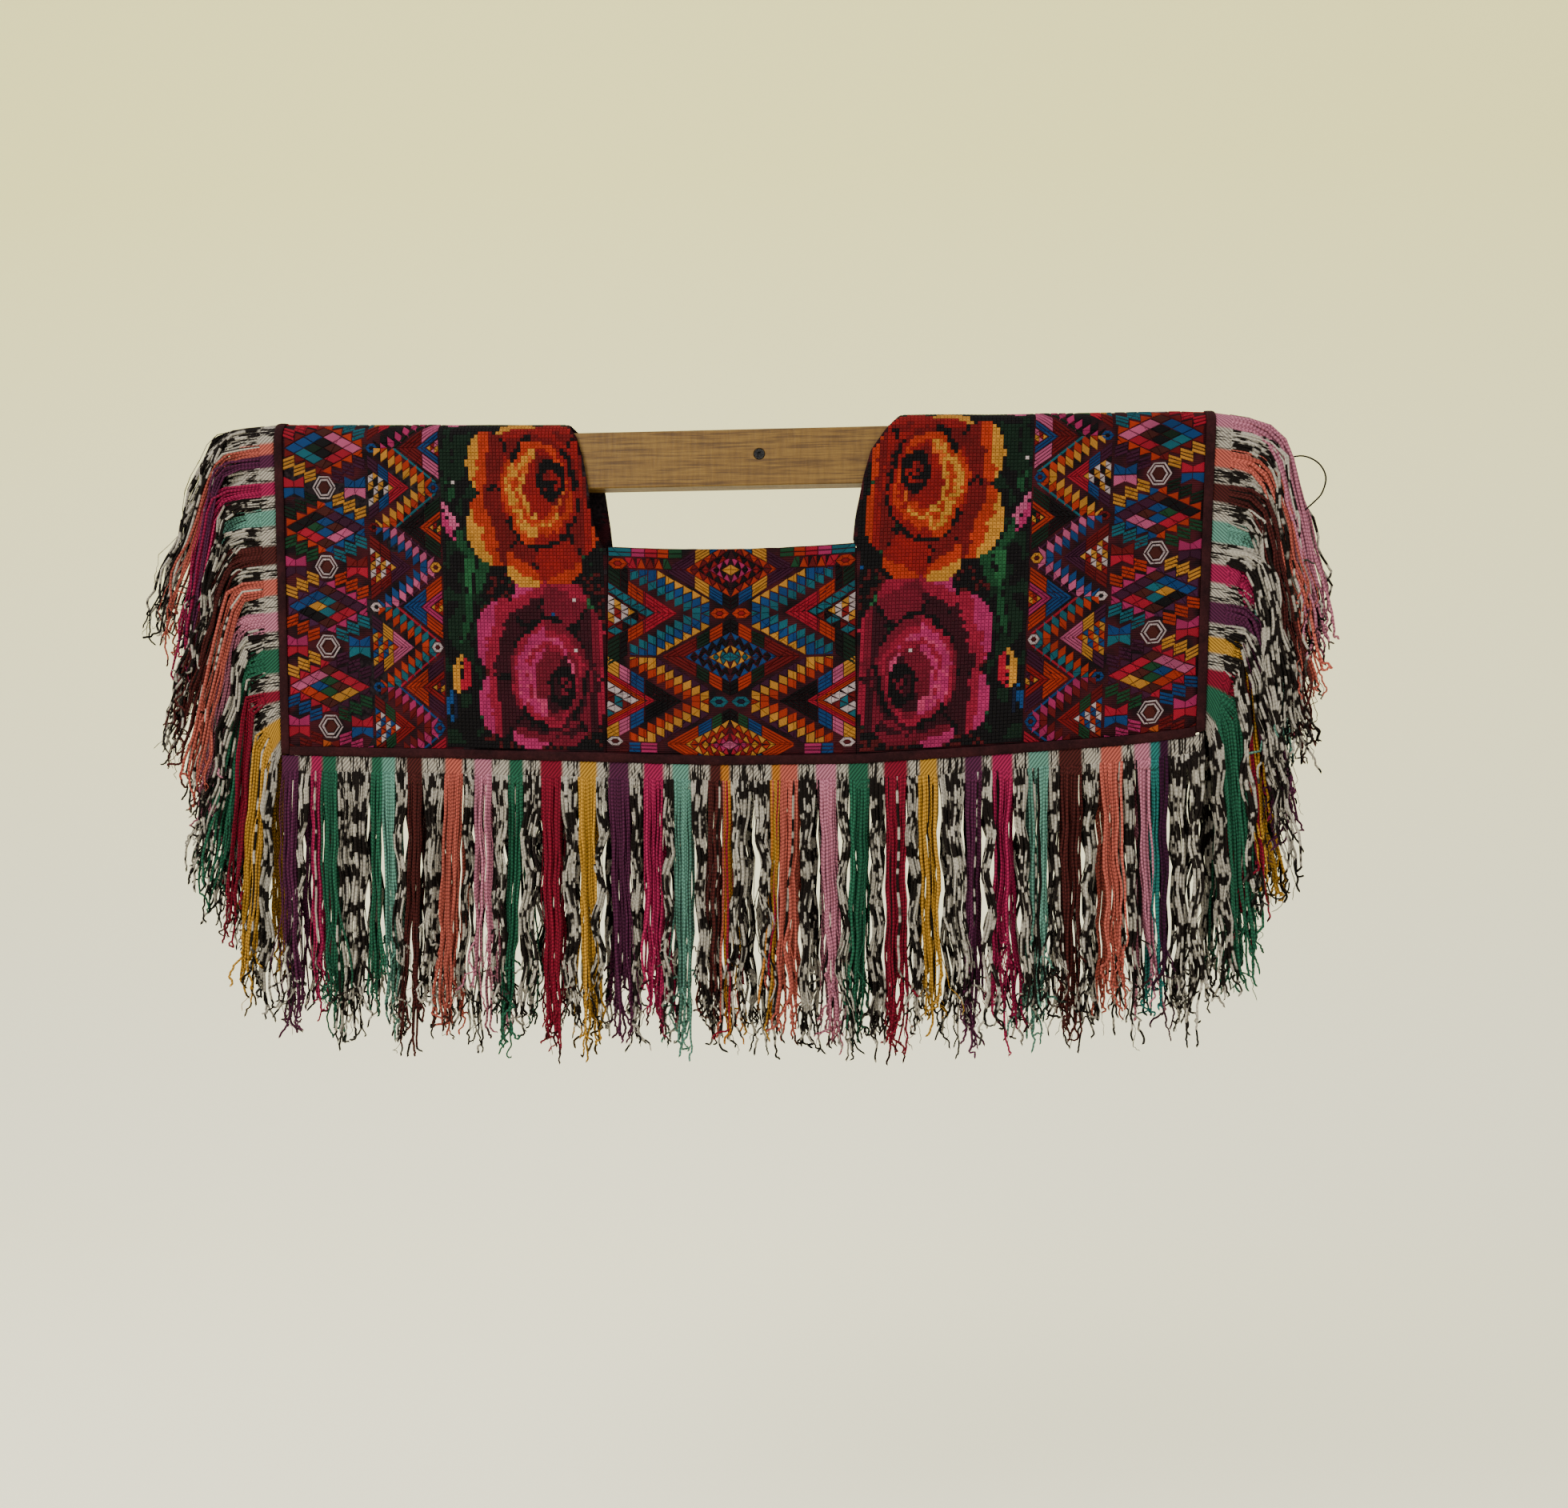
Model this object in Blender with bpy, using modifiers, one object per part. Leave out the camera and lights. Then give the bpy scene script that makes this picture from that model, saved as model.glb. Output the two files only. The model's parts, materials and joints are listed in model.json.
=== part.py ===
"""A fringed huipil blouse hung over a wooden wall bar.

The blouse is four loom panels: a side panel over each shoulder, one wall from the
front hem over the bar to the back hem, and a centre panel under the neck, front and
back. Its edges have a dark binding, and a ravelled striped band is sewn to the
bindings as fringe. The bar stands off the wall on a block, so that the back hangs
behind it. Metres, +Z up, the front faces -Y, and the wall is the plane y = 0. The
origin is the middle of the block's back face.
"""

import math
import random

import bmesh
import bpy
from mathutils import Vector

# Clear space between two pieces at a seam or a seat.
GAP = 0.0003

# Wall bar, its block and its screw.
BAR_LENGTH = 0.680
BAR_HEIGHT = 0.045
BAR_DEPTH = 0.018
BAR_EDGE = 0.0008
BLOCK_LENGTH = 0.110
BLOCK_HEIGHT = 0.024
BLOCK_DEPTH = 0.012
SCREW_X = 0.022
SCREW_Z = 0.0025
SCREW_HEAD_RADIUS = 0.0042
SCREW_HEAD_DEPTH = 0.0030
SCREW_HEAD_RIM = 0.0006
SCREW_HEAD_SUNK = 0.0002
SCREW_SHANK_RADIUS = 0.0019
SCREW_DRIVE_RADIUS = 0.0021
SCREW_DRIVE_DEPTH = 0.0015
SCREW_SIDES = 20

# Cloth. Each wall grows outwards from the blouse's inner face.
CLOTH = 0.0025
BINDING_CLOTH = 0.0032
BAND_CLOTH = 0.0020

# The fold over the bar is half an ellipse that clears the bar's two top edges. It
# springs this far below the bar's top, and is this deep from its middle.
FOLD_DROP = 0.004
FOLD_CENTRE_Y = -(BLOCK_DEPTH + GAP + BAR_DEPTH / 2)
FOLD_CENTRE_Z = BAR_HEIGHT / 2 - FOLD_DROP
FOLD_RADIUS = math.hypot(BAR_DEPTH / 2, FOLD_DROP) + GAP
FOLD_STEPS = 8

# Place across, and how far the fold's inside rises above its springing.
FOLD_RISE = (
    # x, rise
    (-0.375, 0.0165),
    (-0.254, 0.0135),
    (-0.133, 0.0108),
    (0.135, 0.0125),
    (0.253, 0.0103),
    (0.345, 0.0098),
    (0.375, 0.0080),
)

# Half widths, from the middle line.
SEAM_X = 0.0985
TOP_HALF_WIDTH = 0.375
HEM_HALF_WIDTH = 0.3625
BINDING = 0.007
BAND = 0.012

# Hem line: place across the blouse and height of the lower edge of the binding.
HEM = (
    # x, z
    (-0.3625, -0.2350),
    (-0.3000, -0.2362),
    (-0.2000, -0.2384),
    (-0.1000, -0.2412),
    (-0.0100, -0.2440),
    (0.1000, -0.2430),
    (0.2050, -0.2367),
    (0.3000, -0.2300),
    (0.3500, -0.2245),
    (0.3625, -0.2205),
)

# Neck edge: height, and how far it is from the middle line at the front's left,
# at the front's right and at the back. The last row is the top of the fold.
NECK = (
    # z, front_left, front_right, back
    (-0.0700, 0.1020, 0.0955, 0.0985),
    (-0.0500, 0.1100, 0.0975, 0.1010),
    (-0.0180, 0.1150, 0.1040, 0.1060),
    (0.0030, 0.1190, 0.1100, 0.1110),
    (0.0185, 0.1240, 0.1210, 0.1180),
    (0.0312, 0.1340, 0.1340, 0.1340),
)
FRONT_LEFT, FRONT_RIGHT, BACK = 1, 2, 3
NECK_BOTTOM = NECK[0][0]
NECK_SAG = 0.0035

# Soft folds: place across, half width, and how far the cloth stands out at the hem.
FRONT_FOLDS = (
    # x, half_width, depth
    (-0.345, 0.050, 0.0045),
    (-0.235, 0.055, 0.0050),
    (-0.120, 0.050, 0.0030),
    (-0.005, 0.075, 0.0045),
    (0.118, 0.050, 0.0035),
    (0.230, 0.055, 0.0045),
    (0.350, 0.045, 0.0080),
)
BACK_FOLDS = (
    # x, half_width, depth
    (-0.300, 0.070, 0.0022),
    (-0.150, 0.060, 0.0015),
    (0.010, 0.090, 0.0020),
    (0.170, 0.060, 0.0015),
    (0.310, 0.070, 0.0022),
)
FOLDS_START_Z = -BAR_HEIGHT / 2

# Grid of a panel.
LOW_ROWS = 7
NECK_ROWS = 4
SIDE_COLUMNS = 11
CENTRE_COLUMNS = 8
HEM_COLUMNS = 28

# Fringe: a striped band, ravelled into one lock for each stripe.
HEM_LOCKS = 56
SIDE_LOCKS = 44
LOCK_LENGTH = 0.213
LOCK_GAP = 0.0015
HEM_LOCK_WIDTH = 0.0080
HEM_LOCK_DEPTH = 0.0036
SIDE_LOCK_WIDTH = 0.0022
SIDE_LOCK_DEPTH = 0.0040
SIDE_LOCK_LAYER = 0.0046
HEM_LOCK_RINGS = (0.012, 0.110, 1.0)
BEND_STEPS = 4

# A side lock runs level, bends, and falls, leaning outwards. The lowest lock has the
# first value and the lock at the fold the second; the fold's is given for each side.
LEVEL_RUN = (0.008, {-1: 0.036, 1: 0.030})
BEND_RADIUS = (0.005, {-1: 0.014, 1: 0.013})
LEAN = (math.radians(-1), {-1: math.radians(14), 1: math.radians(10)})

# Colours, as linear red, green and blue, with roughness.
FINISHES = {
    "brocade": ((0.20, 0.020, 0.025), 0.85),
    "binding": ((0.040, 0.009, 0.009), 0.90),
    "fringe": ((0.26, 0.22, 0.20), 0.90),
    "wood": ((0.36, 0.20, 0.075), 0.65),
    "blackened_steel": ((0.012, 0.012, 0.014), 0.40),
}


def clear_scene():
    for obj in list(bpy.data.objects):
        bpy.data.objects.remove(obj)


def make_collection(name):
    collection = bpy.data.collections.new(name)
    bpy.context.scene.collection.children.link(collection)
    return collection


def make_material(name):
    (red, green, blue), roughness = FINISHES[name]
    material = bpy.data.materials.new(name)
    material.use_nodes = True
    shader = material.node_tree.nodes["Principled BSDF"]
    shader.inputs["Base Color"].default_value = (red, green, blue, 1)
    shader.inputs["Roughness"].default_value = roughness
    shader.inputs["Metallic"].default_value = float(name == "blackened_steel")
    return material


def add_object(name, bm, material, collection):
    mesh = bpy.data.meshes.new(name)
    bm.to_mesh(mesh)
    bm.free()
    obj = bpy.data.objects.new(name, mesh)
    mesh.materials.append(material)
    collection.objects.link(obj)
    return obj


def table_value(rows, at, column):
    """A column of a table, read straight between its rows."""
    if at <= rows[0][0]:
        return rows[0][column]
    for low, high in zip(rows, rows[1:]):
        if at <= high[0]:
            share = (at - low[0]) / (high[0] - low[0])
            return low[column] + share * (high[column] - low[column])
    return rows[-1][column]


# The form of the worn cloth -----------------------------------------------------


def hem_height(x):
    return table_value(HEM, x, 1)


def half_width(z):
    """Half width over the bindings: the blouse narrows from the fold to the hem."""
    share = (FOLD_CENTRE_Z - z) / (FOLD_CENTRE_Z - hem_height(0))
    share = min(max(share, 0), 1)
    return TOP_HALF_WIDTH + share * (HEM_HALF_WIDTH - TOP_HALF_WIDTH)


def standing_out(folds, x, z):
    """How far the soft folds carry the cloth outwards at a place."""
    below = (FOLDS_START_Z - z) / (FOLDS_START_Z - hem_height(0))
    below = min(max(below, 0), 1)
    out = 0.0
    for middle, width, depth in folds:
        away = abs(x - middle) / width
        if away < 1:
            out += depth * (0.5 + 0.5 * math.cos(math.pi * away))
    return out * below * below * (3 - 2 * below)


def panel_foot(x):
    """Height of the panels' lower edge, just over the hem binding."""
    return hem_height(x) + BINDING + GAP


def cloth_point(x, row, out=0.0, lower=0.0):
    """A point of the cloth. row is (leg, share): share climbs from 0 at the panels'
    front edge to 1 at the fold on leg 'front', goes over the fold on leg 'fold', and
    falls from 0 to 1 on leg 'back'. out is outwards from the inner face, lower is
    below the row."""
    leg, share = row
    if leg == "fold":
        angle = share * math.pi
        return Vector((
            x,
            FOLD_CENTRE_Y - (FOLD_RADIUS + out) * math.cos(angle),
            FOLD_CENTRE_Z + (table_value(FOLD_RISE, x, 1) + out) * math.sin(angle),
        ))
    climbed = share if leg == "front" else 1 - share
    z = panel_foot(x) + climbed * (FOLD_CENTRE_Z - panel_foot(x)) - lower
    if leg == "front":
        y = FOLD_CENTRE_Y - FOLD_RADIUS - out - standing_out(FRONT_FOLDS, x, z)
    else:
        y = FOLD_CENTRE_Y + FOLD_RADIUS + out + standing_out(BACK_FOLDS, x, z)
    return Vector((x, y, z))


def leg_share(height, x):
    """The share of a leg at a height, on the line at x."""
    return (height - panel_foot(x)) / (FOLD_CENTRE_Z - panel_foot(x))


def evenly(first, last, steps):
    return [first + (last - first) * i / steps for i in range(steps + 1)]


def shoulder_rows():
    """Rows from just over the front binding, over the fold, to the back binding."""
    neck = leg_share(NECK_BOTTOM, SEAM_X)
    climb = evenly(0, neck, LOW_ROWS) + evenly(neck, 1, NECK_ROWS)[1:]
    fold = [("fold", share) for share in evenly(0, 1, FOLD_STEPS)[1:-1]]
    rows = [("front", share) for share in climb]
    return rows + fold + [("back", 1 - share) for share in reversed(climb)]


def inner_edge(side, row):
    """Distance of a side panel's inner edge from the middle line: its seam with the
    centre panel, and the neck edge above that."""
    leg, share = row
    front = FRONT_LEFT if side < 0 else FRONT_RIGHT
    if leg == "fold":
        column = front if share < 0.5 else BACK
        top = NECK[-1][column]
        spring = table_value(NECK, FOLD_CENTRE_Z, column)
        return spring + (top - spring) * math.sin(share * math.pi)
    z = cloth_point(SEAM_X, row).z
    if z < NECK_BOTTOM + GAP:
        return SEAM_X
    return table_value(NECK, z, front if leg == "front" else BACK)


def outer_edge(row):
    return half_width(cloth_point(HEM_HALF_WIDTH, row).z)


# Cloth pieces -------------------------------------------------------------------


def add_sheet(name, columns, rows, place, thickness, material, collection):
    """A grid laid on the blouse's inner face, given its wall outwards by Solidify."""
    bm = bmesh.new()
    bmesh.ops.create_grid(bm, x_segments=columns, y_segments=rows, size=0.5)
    for vert in bm.verts:
        column = round((vert.co.x + 0.5) * columns)
        row = round((vert.co.y + 0.5) * rows)
        vert.co = place(column / columns, row)
    obj = add_object(name, bm, material, collection)
    wall = obj.modifiers.new("wall", "SOLIDIFY")
    wall.thickness = thickness
    wall.offset = 1
    wall.use_even_offset = True
    obj.data.shade_smooth()
    return obj


def add_side_panel(name, side, material, collection):
    rows = shoulder_rows()

    def place(across, row):
        if side < 0:
            across = 1 - across
        inner = inner_edge(side, rows[row]) + GAP / 2
        outer = outer_edge(rows[row]) - BINDING - GAP
        return cloth_point(side * (inner + across * (outer - inner)), rows[row])

    add_sheet(name, SIDE_COLUMNS, len(rows) - 1, place, CLOTH, material, collection)


def add_centre_panel(name, leg, material, collection):
    shares = evenly(0, leg_share(NECK_BOTTOM, SEAM_X), LOW_ROWS)
    if leg == "back":
        shares = [1 - share for share in reversed(shares)]

    def place(across, row):
        x = (2 * across - 1) * (SEAM_X - GAP / 2)
        point = cloth_point(x, (leg, shares[row]))
        at_neck = row == (LOW_ROWS if leg == "front" else 0)
        if at_neck:
            point.z -= NECK_SAG * math.cos(math.pi * (across - 0.5))
        return point

    add_sheet(name, CENTRE_COLUMNS, LOW_ROWS, place, CLOTH, material, collection)


def add_side_binding(name, side, material, collection):
    rows = shoulder_rows()
    rows = [rows[0]] + rows + [rows[-1]]

    def place(across, row):
        inner = outer_edge(rows[row]) - BINDING
        if side < 0:
            across = 1 - across
        lower = BINDING + GAP if row in (0, len(rows) - 1) else 0
        return cloth_point(side * (inner + across * BINDING), rows[row], lower=lower)

    add_sheet(name, 1, len(rows) - 1, place, BINDING_CLOTH, material, collection)


def add_hem_binding(name, leg, material, collection):
    reach = HEM_HALF_WIDTH - BINDING - GAP
    hem_row = (leg, 0 if leg == "front" else 1)

    def place(across, row):
        x = (2 * across - 1) * reach
        fallen = 1 - row if leg == "front" else row
        return cloth_point(x, hem_row, lower=GAP + fallen * BINDING)

    add_sheet(name, HEM_COLUMNS, 1, place, BINDING_CLOTH, material, collection)


# Fringe -------------------------------------------------------------------------


def extrude_to(bm, face, places):
    """Extrudes one face and puts its new corners at these places, in its own order."""
    made = bmesh.ops.extrude_discrete_faces(bm, faces=[face])["faces"][0]
    for vert, place in zip(made.verts, places):
        vert.co = place
    return made


def grow_lock(bm, face, roles, rings):
    """Draws a lock out of one face of the band. roles says for each corner of the face
    which way it lies along the band and outwards; a ring is (middle, along, outwards)."""
    for middle, along, outwards in rings:
        places = [middle + a * along + b * outwards for a, b in roles]
        face = extrude_to(bm, face, places)


def add_fringe(name, stations, hang, outwards, rings_of, material, collection):
    """A band with a lock under each stripe, as one solid. stations holds the band's
    edge at the start and end of each lock; hang is the way the threads leave it, and
    outwards(station) is square to the cloth."""
    bm = bmesh.new()

    def section(station):
        top, out = station["point"], outwards(station) * BAND_CLOTH
        return [top, top + hang * BAND, top + hang * BAND + out, top + out]

    face = bm.faces.new([bm.verts.new(place) for place in section(stations[0])])
    ends = []
    for number, station in enumerate(stations[1:]):
        before = list(face.verts)
        face = extrude_to(bm, face, section(station))
        if number % 2 == 0:
            after = list(face.verts)
            edge = bm.edges.get((after[1], after[2]))
            end = next(f for f in edge.link_faces if f is not face)
            role = {before[1]: (-1, -1), after[1]: (1, -1)}
            role |= {after[2]: (1, 1), before[2]: (-1, 1)}
            ends.append((end, [role[vert] for vert in end.verts]))
    bm.normal_update()
    for number, (end, roles) in enumerate(ends):
        grow_lock(bm, end, roles, rings_of(number))
    bmesh.ops.holes_fill(bm, edges=[e for e in bm.edges if e.is_boundary], sides=4)
    bmesh.ops.recalc_face_normals(bm, faces=bm.faces)
    return add_object(name, bm, material, collection)


def add_hem_fringe(name, leg, seed, material, collection):
    chance = random.Random(seed)
    reach = HEM_HALF_WIDTH
    pitch = 2 * reach / HEM_LOCKS
    hem_row = (leg, 0 if leg == "front" else 1)
    facing = Vector((0, -1 if leg == "front" else 1, 0))
    down = Vector((0, 0, -1))
    stations = []
    for lock in range(HEM_LOCKS):
        for side in (LOCK_GAP / 2, pitch - LOCK_GAP / 2):
            x = -reach + lock * pitch + side
            stations.append({"point": cloth_point(x, hem_row, lower=BINDING + 3 * GAP)})

    def rings_of(lock):
        start, end = stations[2 * lock]["point"], stations[2 * lock + 1]["point"]
        root = (start + end) / 2 + down * BAND
        length = LOCK_LENGTH * chance.uniform(0.91, 1.0)
        sway = chance.uniform(-0.0014, 0.0014)
        rings = []
        for number, at in enumerate(HEM_LOCK_RINGS):
            fallen = min(at, length)
            swell = (0.92, 1.0, 0.80)[number]
            middle = root + down * fallen + facing * (HEM_LOCK_DEPTH / 2)
            middle.x += sway * fallen / length
            along = Vector((HEM_LOCK_WIDTH * swell / 2, 0, 0))
            rings.append((middle, along, facing * HEM_LOCK_DEPTH * swell / 2))
        return rings

    return add_fringe(
        name, stations, down, lambda station: facing, rings_of, material, collection
    )


def edge_profile(side):
    """The side edge from the front hem to the back hem: rows with their distance."""
    rows = [("front", s) for s in evenly(0, 1, 60)]
    rows += [("fold", s) for s in evenly(0, 1, 30)[1:]]
    rows += [("back", s) for s in evenly(0, 1, 60)[1:]]
    profile, walked, before = [], 0.0, None
    for row in rows:
        point = cloth_point(side * (outer_edge(row) + 2 * GAP), row)
        if before is not None:
            walked += (point - before).length
        profile.append((walked, row))
        before = point
    return profile


def row_at(profile, distance):
    for (low, (leg, share)), (high, (next_leg, next_share)) in zip(profile, profile[1:]):
        if distance <= high:
            part = (distance - low) / (high - low)
            if leg != next_leg:
                share = 0.0
            return next_leg, share + part * (next_share - share)
    return profile[-1][1]


def outwards_at(row):
    """Square to the cloth, away from the blouse's inside."""
    leg, share = row
    if leg == "fold":
        return Vector((0, -math.cos(share * math.pi), math.sin(share * math.pi)))
    return Vector((0, -1 if leg == "front" else 1, 0))


def from_low_to_high(pair, side, height):
    low, high = pair
    return low + (high[side] - low) * height


def side_path(side, height, length):
    """A side lock's middle line: (out, down, angle) at the end of its level run,
    through its bend and at its tip."""
    run = from_low_to_high(LEVEL_RUN, side, height)
    radius = from_low_to_high(BEND_RADIUS, side, height)
    whole = math.pi / 2 - from_low_to_high(LEAN, side, height)
    path = []
    for angle in evenly(0, whole, BEND_STEPS):
        bent = (radius * math.sin(angle), radius * (1 - math.cos(angle)))
        path.append((run + bent[0], bent[1], angle))
    fall = length - run - radius * whole
    out, down, angle = path[-1]
    return path + [
        (out + fall * math.cos(angle), down + fall * math.sin(angle), angle)
    ]


def add_side_fringe(name, side, seed, material, collection):
    chance = random.Random(seed)
    profile = edge_profile(side)
    whole = profile[-1][0]
    pitch = whole / SIDE_LOCKS
    hang = Vector((side, 0, 0))
    stations = []
    for lock in range(SIDE_LOCKS):
        for start in (LOCK_GAP / 2, pitch - LOCK_GAP / 2):
            row = row_at(profile, lock * pitch + start)
            point = cloth_point(side * (outer_edge(row) + 2 * GAP), row)
            stations.append({"point": point, "row": row})

    def rings_of(lock):
        start, end = stations[2 * lock], stations[2 * lock + 1]
        root = (start["point"] + end["point"]) / 2 + hang * BAND
        height = 1 - abs((lock + 0.5) / SIDE_LOCKS - 0.5) * 2
        facing = Vector((0, -1 if lock < SIDE_LOCKS / 2 else 1, 0))
        length = LOCK_LENGTH * chance.uniform(0.96, 1.03)
        layer = facing * SIDE_LOCK_LAYER * (lock % 2)
        rings = []
        for out, down, angle in side_path(side, height, length):
            forward = Vector((side * math.cos(angle), 0, -math.sin(angle)))
            middle = root + hang * out + Vector((0, 0, -down)) + layer
            rings.append((
                middle + facing * SIDE_LOCK_DEPTH / 2,
                side * facing.cross(forward) * SIDE_LOCK_WIDTH / 2,
                facing * SIDE_LOCK_DEPTH / 2,
            ))
        return rings

    return add_fringe(
        name,
        stations,
        hang,
        lambda station: outwards_at(station["row"]),
        rings_of,
        material,
        collection,
    )


# Wall bar -----------------------------------------------------------------------


def add_box(name, size, middle, material, collection, edge=0.0):
    bm = bmesh.new()
    bmesh.ops.create_cube(bm, size=1)
    bmesh.ops.scale(bm, vec=size, verts=bm.verts)
    bmesh.ops.translate(bm, vec=middle, verts=bm.verts)
    obj = add_object(name, bm, material, collection)
    if edge:
        bevel = obj.modifiers.new("worn_edges", "BEVEL")
        bevel.width = edge
        bevel.segments = 1
    return obj


def add_turned(name, profile, material, collection):
    """A body turned about the screw's axis. profile holds (radius, y) from the point to
    the head; it is spun about Z and laid along -Y."""
    mesh = bpy.data.meshes.new(name)
    mesh.from_pydata([(r, 0, z) for r, z in profile], [
        (i, i + 1) for i in range(len(profile) - 1)
    ], [])
    obj = bpy.data.objects.new(name, mesh)
    mesh.materials.append(material)
    collection.objects.link(obj)
    screw = obj.modifiers.new("turned", "SCREW")
    screw.steps = screw.render_steps = SCREW_SIDES
    screw.use_merge_vertices = True
    screw.merge_threshold = 0.00001
    obj.rotation_euler.x = math.radians(90)
    obj.location = (SCREW_X, 0, SCREW_Z)
    return obj


def screw_profile(clearance, front, over, tip):
    """Outline of the countersunk screw, from head to tip: the screw itself with no
    clearance, or its hole, which runs over past the head."""
    head = SCREW_HEAD_RADIUS + clearance
    shank = SCREW_SHANK_RADIUS + clearance
    return [
        (0, front + over),
        (head, front + over),
        (head, front - SCREW_HEAD_RIM),
        (shank, front - SCREW_HEAD_DEPTH),
        (shank, tip),
        (0, tip),
    ]


def cut(obj, cutter, name):
    modifier = obj.modifiers.new(name, "BOOLEAN")
    modifier.operation = "DIFFERENCE"
    modifier.solver = "EXACT"
    modifier.object = cutter


def add_cutter(obj):
    obj.hide_render = True
    obj.display_type = "WIRE"
    return obj


def add_star_cutter(front, collection):
    """The six-lobed drive recess in the screw's head."""
    curve = bpy.data.curves.new("drive_outline", "CURVE")
    curve.dimensions = "2D"
    curve.fill_mode = "BOTH"
    curve.extrude = SCREW_DRIVE_DEPTH
    spline = curve.splines.new("POLY")
    spline.points.add(23)
    for number, point in enumerate(spline.points):
        angle = math.tau * number / 24
        radius = SCREW_DRIVE_RADIUS * (0.84 + 0.16 * math.cos(6 * angle))
        point.co = (radius * math.cos(angle), radius * math.sin(angle), 0, 1)
    spline.use_cyclic_u = True
    outline = bpy.data.objects.new("drive_outline", curve)
    collection.objects.link(outline)
    bpy.context.view_layer.update()
    graph = bpy.context.evaluated_depsgraph_get()
    mesh = bpy.data.meshes.new_from_object(outline.evaluated_get(graph))
    bm = bmesh.new()
    bm.from_mesh(mesh)
    bmesh.ops.remove_doubles(bm, verts=bm.verts, dist=0.000001)
    bmesh.ops.recalc_face_normals(bm, faces=bm.faces)
    bm.to_mesh(mesh)
    bm.free()
    cutter = bpy.data.objects.new("drive_cutter", mesh)
    collection.objects.link(cutter)
    bpy.data.objects.remove(outline)
    cutter.rotation_euler.x = math.radians(90)
    cutter.location = (SCREW_X, -front, SCREW_Z)
    return add_cutter(cutter)


def add_wall_bar(materials, parts, cutters):
    bar_front = BLOCK_DEPTH + GAP + BAR_DEPTH
    bar_y = -(BLOCK_DEPTH + GAP + BAR_DEPTH / 2)
    bar = add_box(
        "wall_bar",
        (BAR_LENGTH, BAR_DEPTH, BAR_HEIGHT),
        (0, bar_y, 0),
        materials["wood"],
        parts,
        BAR_EDGE,
    )
    block = add_box(
        "wall_block",
        (BLOCK_LENGTH, BLOCK_DEPTH, BLOCK_HEIGHT),
        (0, -BLOCK_DEPTH / 2, 0),
        materials["wood"],
        parts,
    )
    steel = materials["blackened_steel"]
    head_front = bar_front - SCREW_HEAD_SUNK
    screw = add_turned(
        "bar_screw", screw_profile(0, head_front, 0, GAP), steel, parts
    )
    cut(screw, add_star_cutter(head_front, cutters), "drive")
    hole = add_cutter(add_turned(
        "screw_hole",
        screw_profile(2 * GAP, head_front, 0.002, -0.002),
        steel,
        cutters,
    ))
    cut(bar, hole, "screw_hole")
    cut(block, hole, "screw_hole")


def main():
    clear_scene()
    parts = make_collection("fringed_huipil_on_wall_bar")
    cutters = make_collection("cutters")
    materials = {name: make_material(name) for name in FINISHES}
    add_wall_bar(materials, parts, cutters)
    add_side_panel("left_panel", -1, materials["brocade"], parts)
    add_side_panel("right_panel", 1, materials["brocade"], parts)
    add_centre_panel("front_centre_panel", "front", materials["brocade"], parts)
    add_centre_panel("back_centre_panel", "back", materials["brocade"], parts)
    add_side_binding("left_binding", -1, materials["binding"], parts)
    add_side_binding("right_binding", 1, materials["binding"], parts)
    add_hem_binding("front_hem_binding", "front", materials["binding"], parts)
    add_hem_binding("back_hem_binding", "back", materials["binding"], parts)
    add_hem_fringe("front_hem_fringe", "front", 3, materials["fringe"], parts)
    add_hem_fringe("back_hem_fringe", "back", 5, materials["fringe"], parts)
    add_side_fringe("left_fringe", -1, 7, materials["fringe"], parts)
    add_side_fringe("right_fringe", 1, 11, materials["fringe"], parts)


main()
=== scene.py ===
"""The looks of a fringed huipil blouse that hangs over a wooden wall bar.

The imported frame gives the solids. Metres, +Z up, the front faces -Y. Charts and tables
are in millimetres, and MM turns them into metres. Left and right are as seen from the front.
"""

import json
import math
import random

import bmesh
import bpy
import numpy as np
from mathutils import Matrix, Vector, noise

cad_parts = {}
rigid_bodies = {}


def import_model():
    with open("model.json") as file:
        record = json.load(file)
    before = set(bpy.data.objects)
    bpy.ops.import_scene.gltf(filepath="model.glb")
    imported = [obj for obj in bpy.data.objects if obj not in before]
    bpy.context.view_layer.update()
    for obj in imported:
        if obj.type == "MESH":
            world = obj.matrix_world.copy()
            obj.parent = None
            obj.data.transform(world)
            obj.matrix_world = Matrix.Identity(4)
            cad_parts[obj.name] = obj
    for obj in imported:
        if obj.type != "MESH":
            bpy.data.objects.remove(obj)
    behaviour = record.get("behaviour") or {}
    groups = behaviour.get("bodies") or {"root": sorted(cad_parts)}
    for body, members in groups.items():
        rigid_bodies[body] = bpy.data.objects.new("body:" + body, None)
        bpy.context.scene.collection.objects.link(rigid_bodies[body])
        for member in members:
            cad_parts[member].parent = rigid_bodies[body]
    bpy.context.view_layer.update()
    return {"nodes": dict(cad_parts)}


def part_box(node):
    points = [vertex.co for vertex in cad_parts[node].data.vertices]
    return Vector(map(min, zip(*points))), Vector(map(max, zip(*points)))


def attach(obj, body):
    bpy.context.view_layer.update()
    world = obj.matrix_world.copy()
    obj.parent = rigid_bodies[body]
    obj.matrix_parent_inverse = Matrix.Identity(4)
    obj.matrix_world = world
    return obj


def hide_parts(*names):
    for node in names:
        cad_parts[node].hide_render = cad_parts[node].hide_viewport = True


for startup_object in list(bpy.data.objects):
    bpy.data.objects.remove(startup_object)
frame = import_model()
MM = 0.001


# ---------------------------------------------------------------------------------
# View and light. A pale room: a floor that curves up into a far backdrop, a pale world,
# one big soft lamp from the upper left, a weak one from the right and one from behind.

CAMERA_PLACE = (0.1515, -1.2140, -0.2828)
CAMERA_TURN = math.radians(5.3)
CAMERA_TILT = math.radians(2.3)
IMAGE_WIDTH = 1960
FOCAL_PIXELS = 1900
SENSOR_WIDTH = 36


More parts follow.
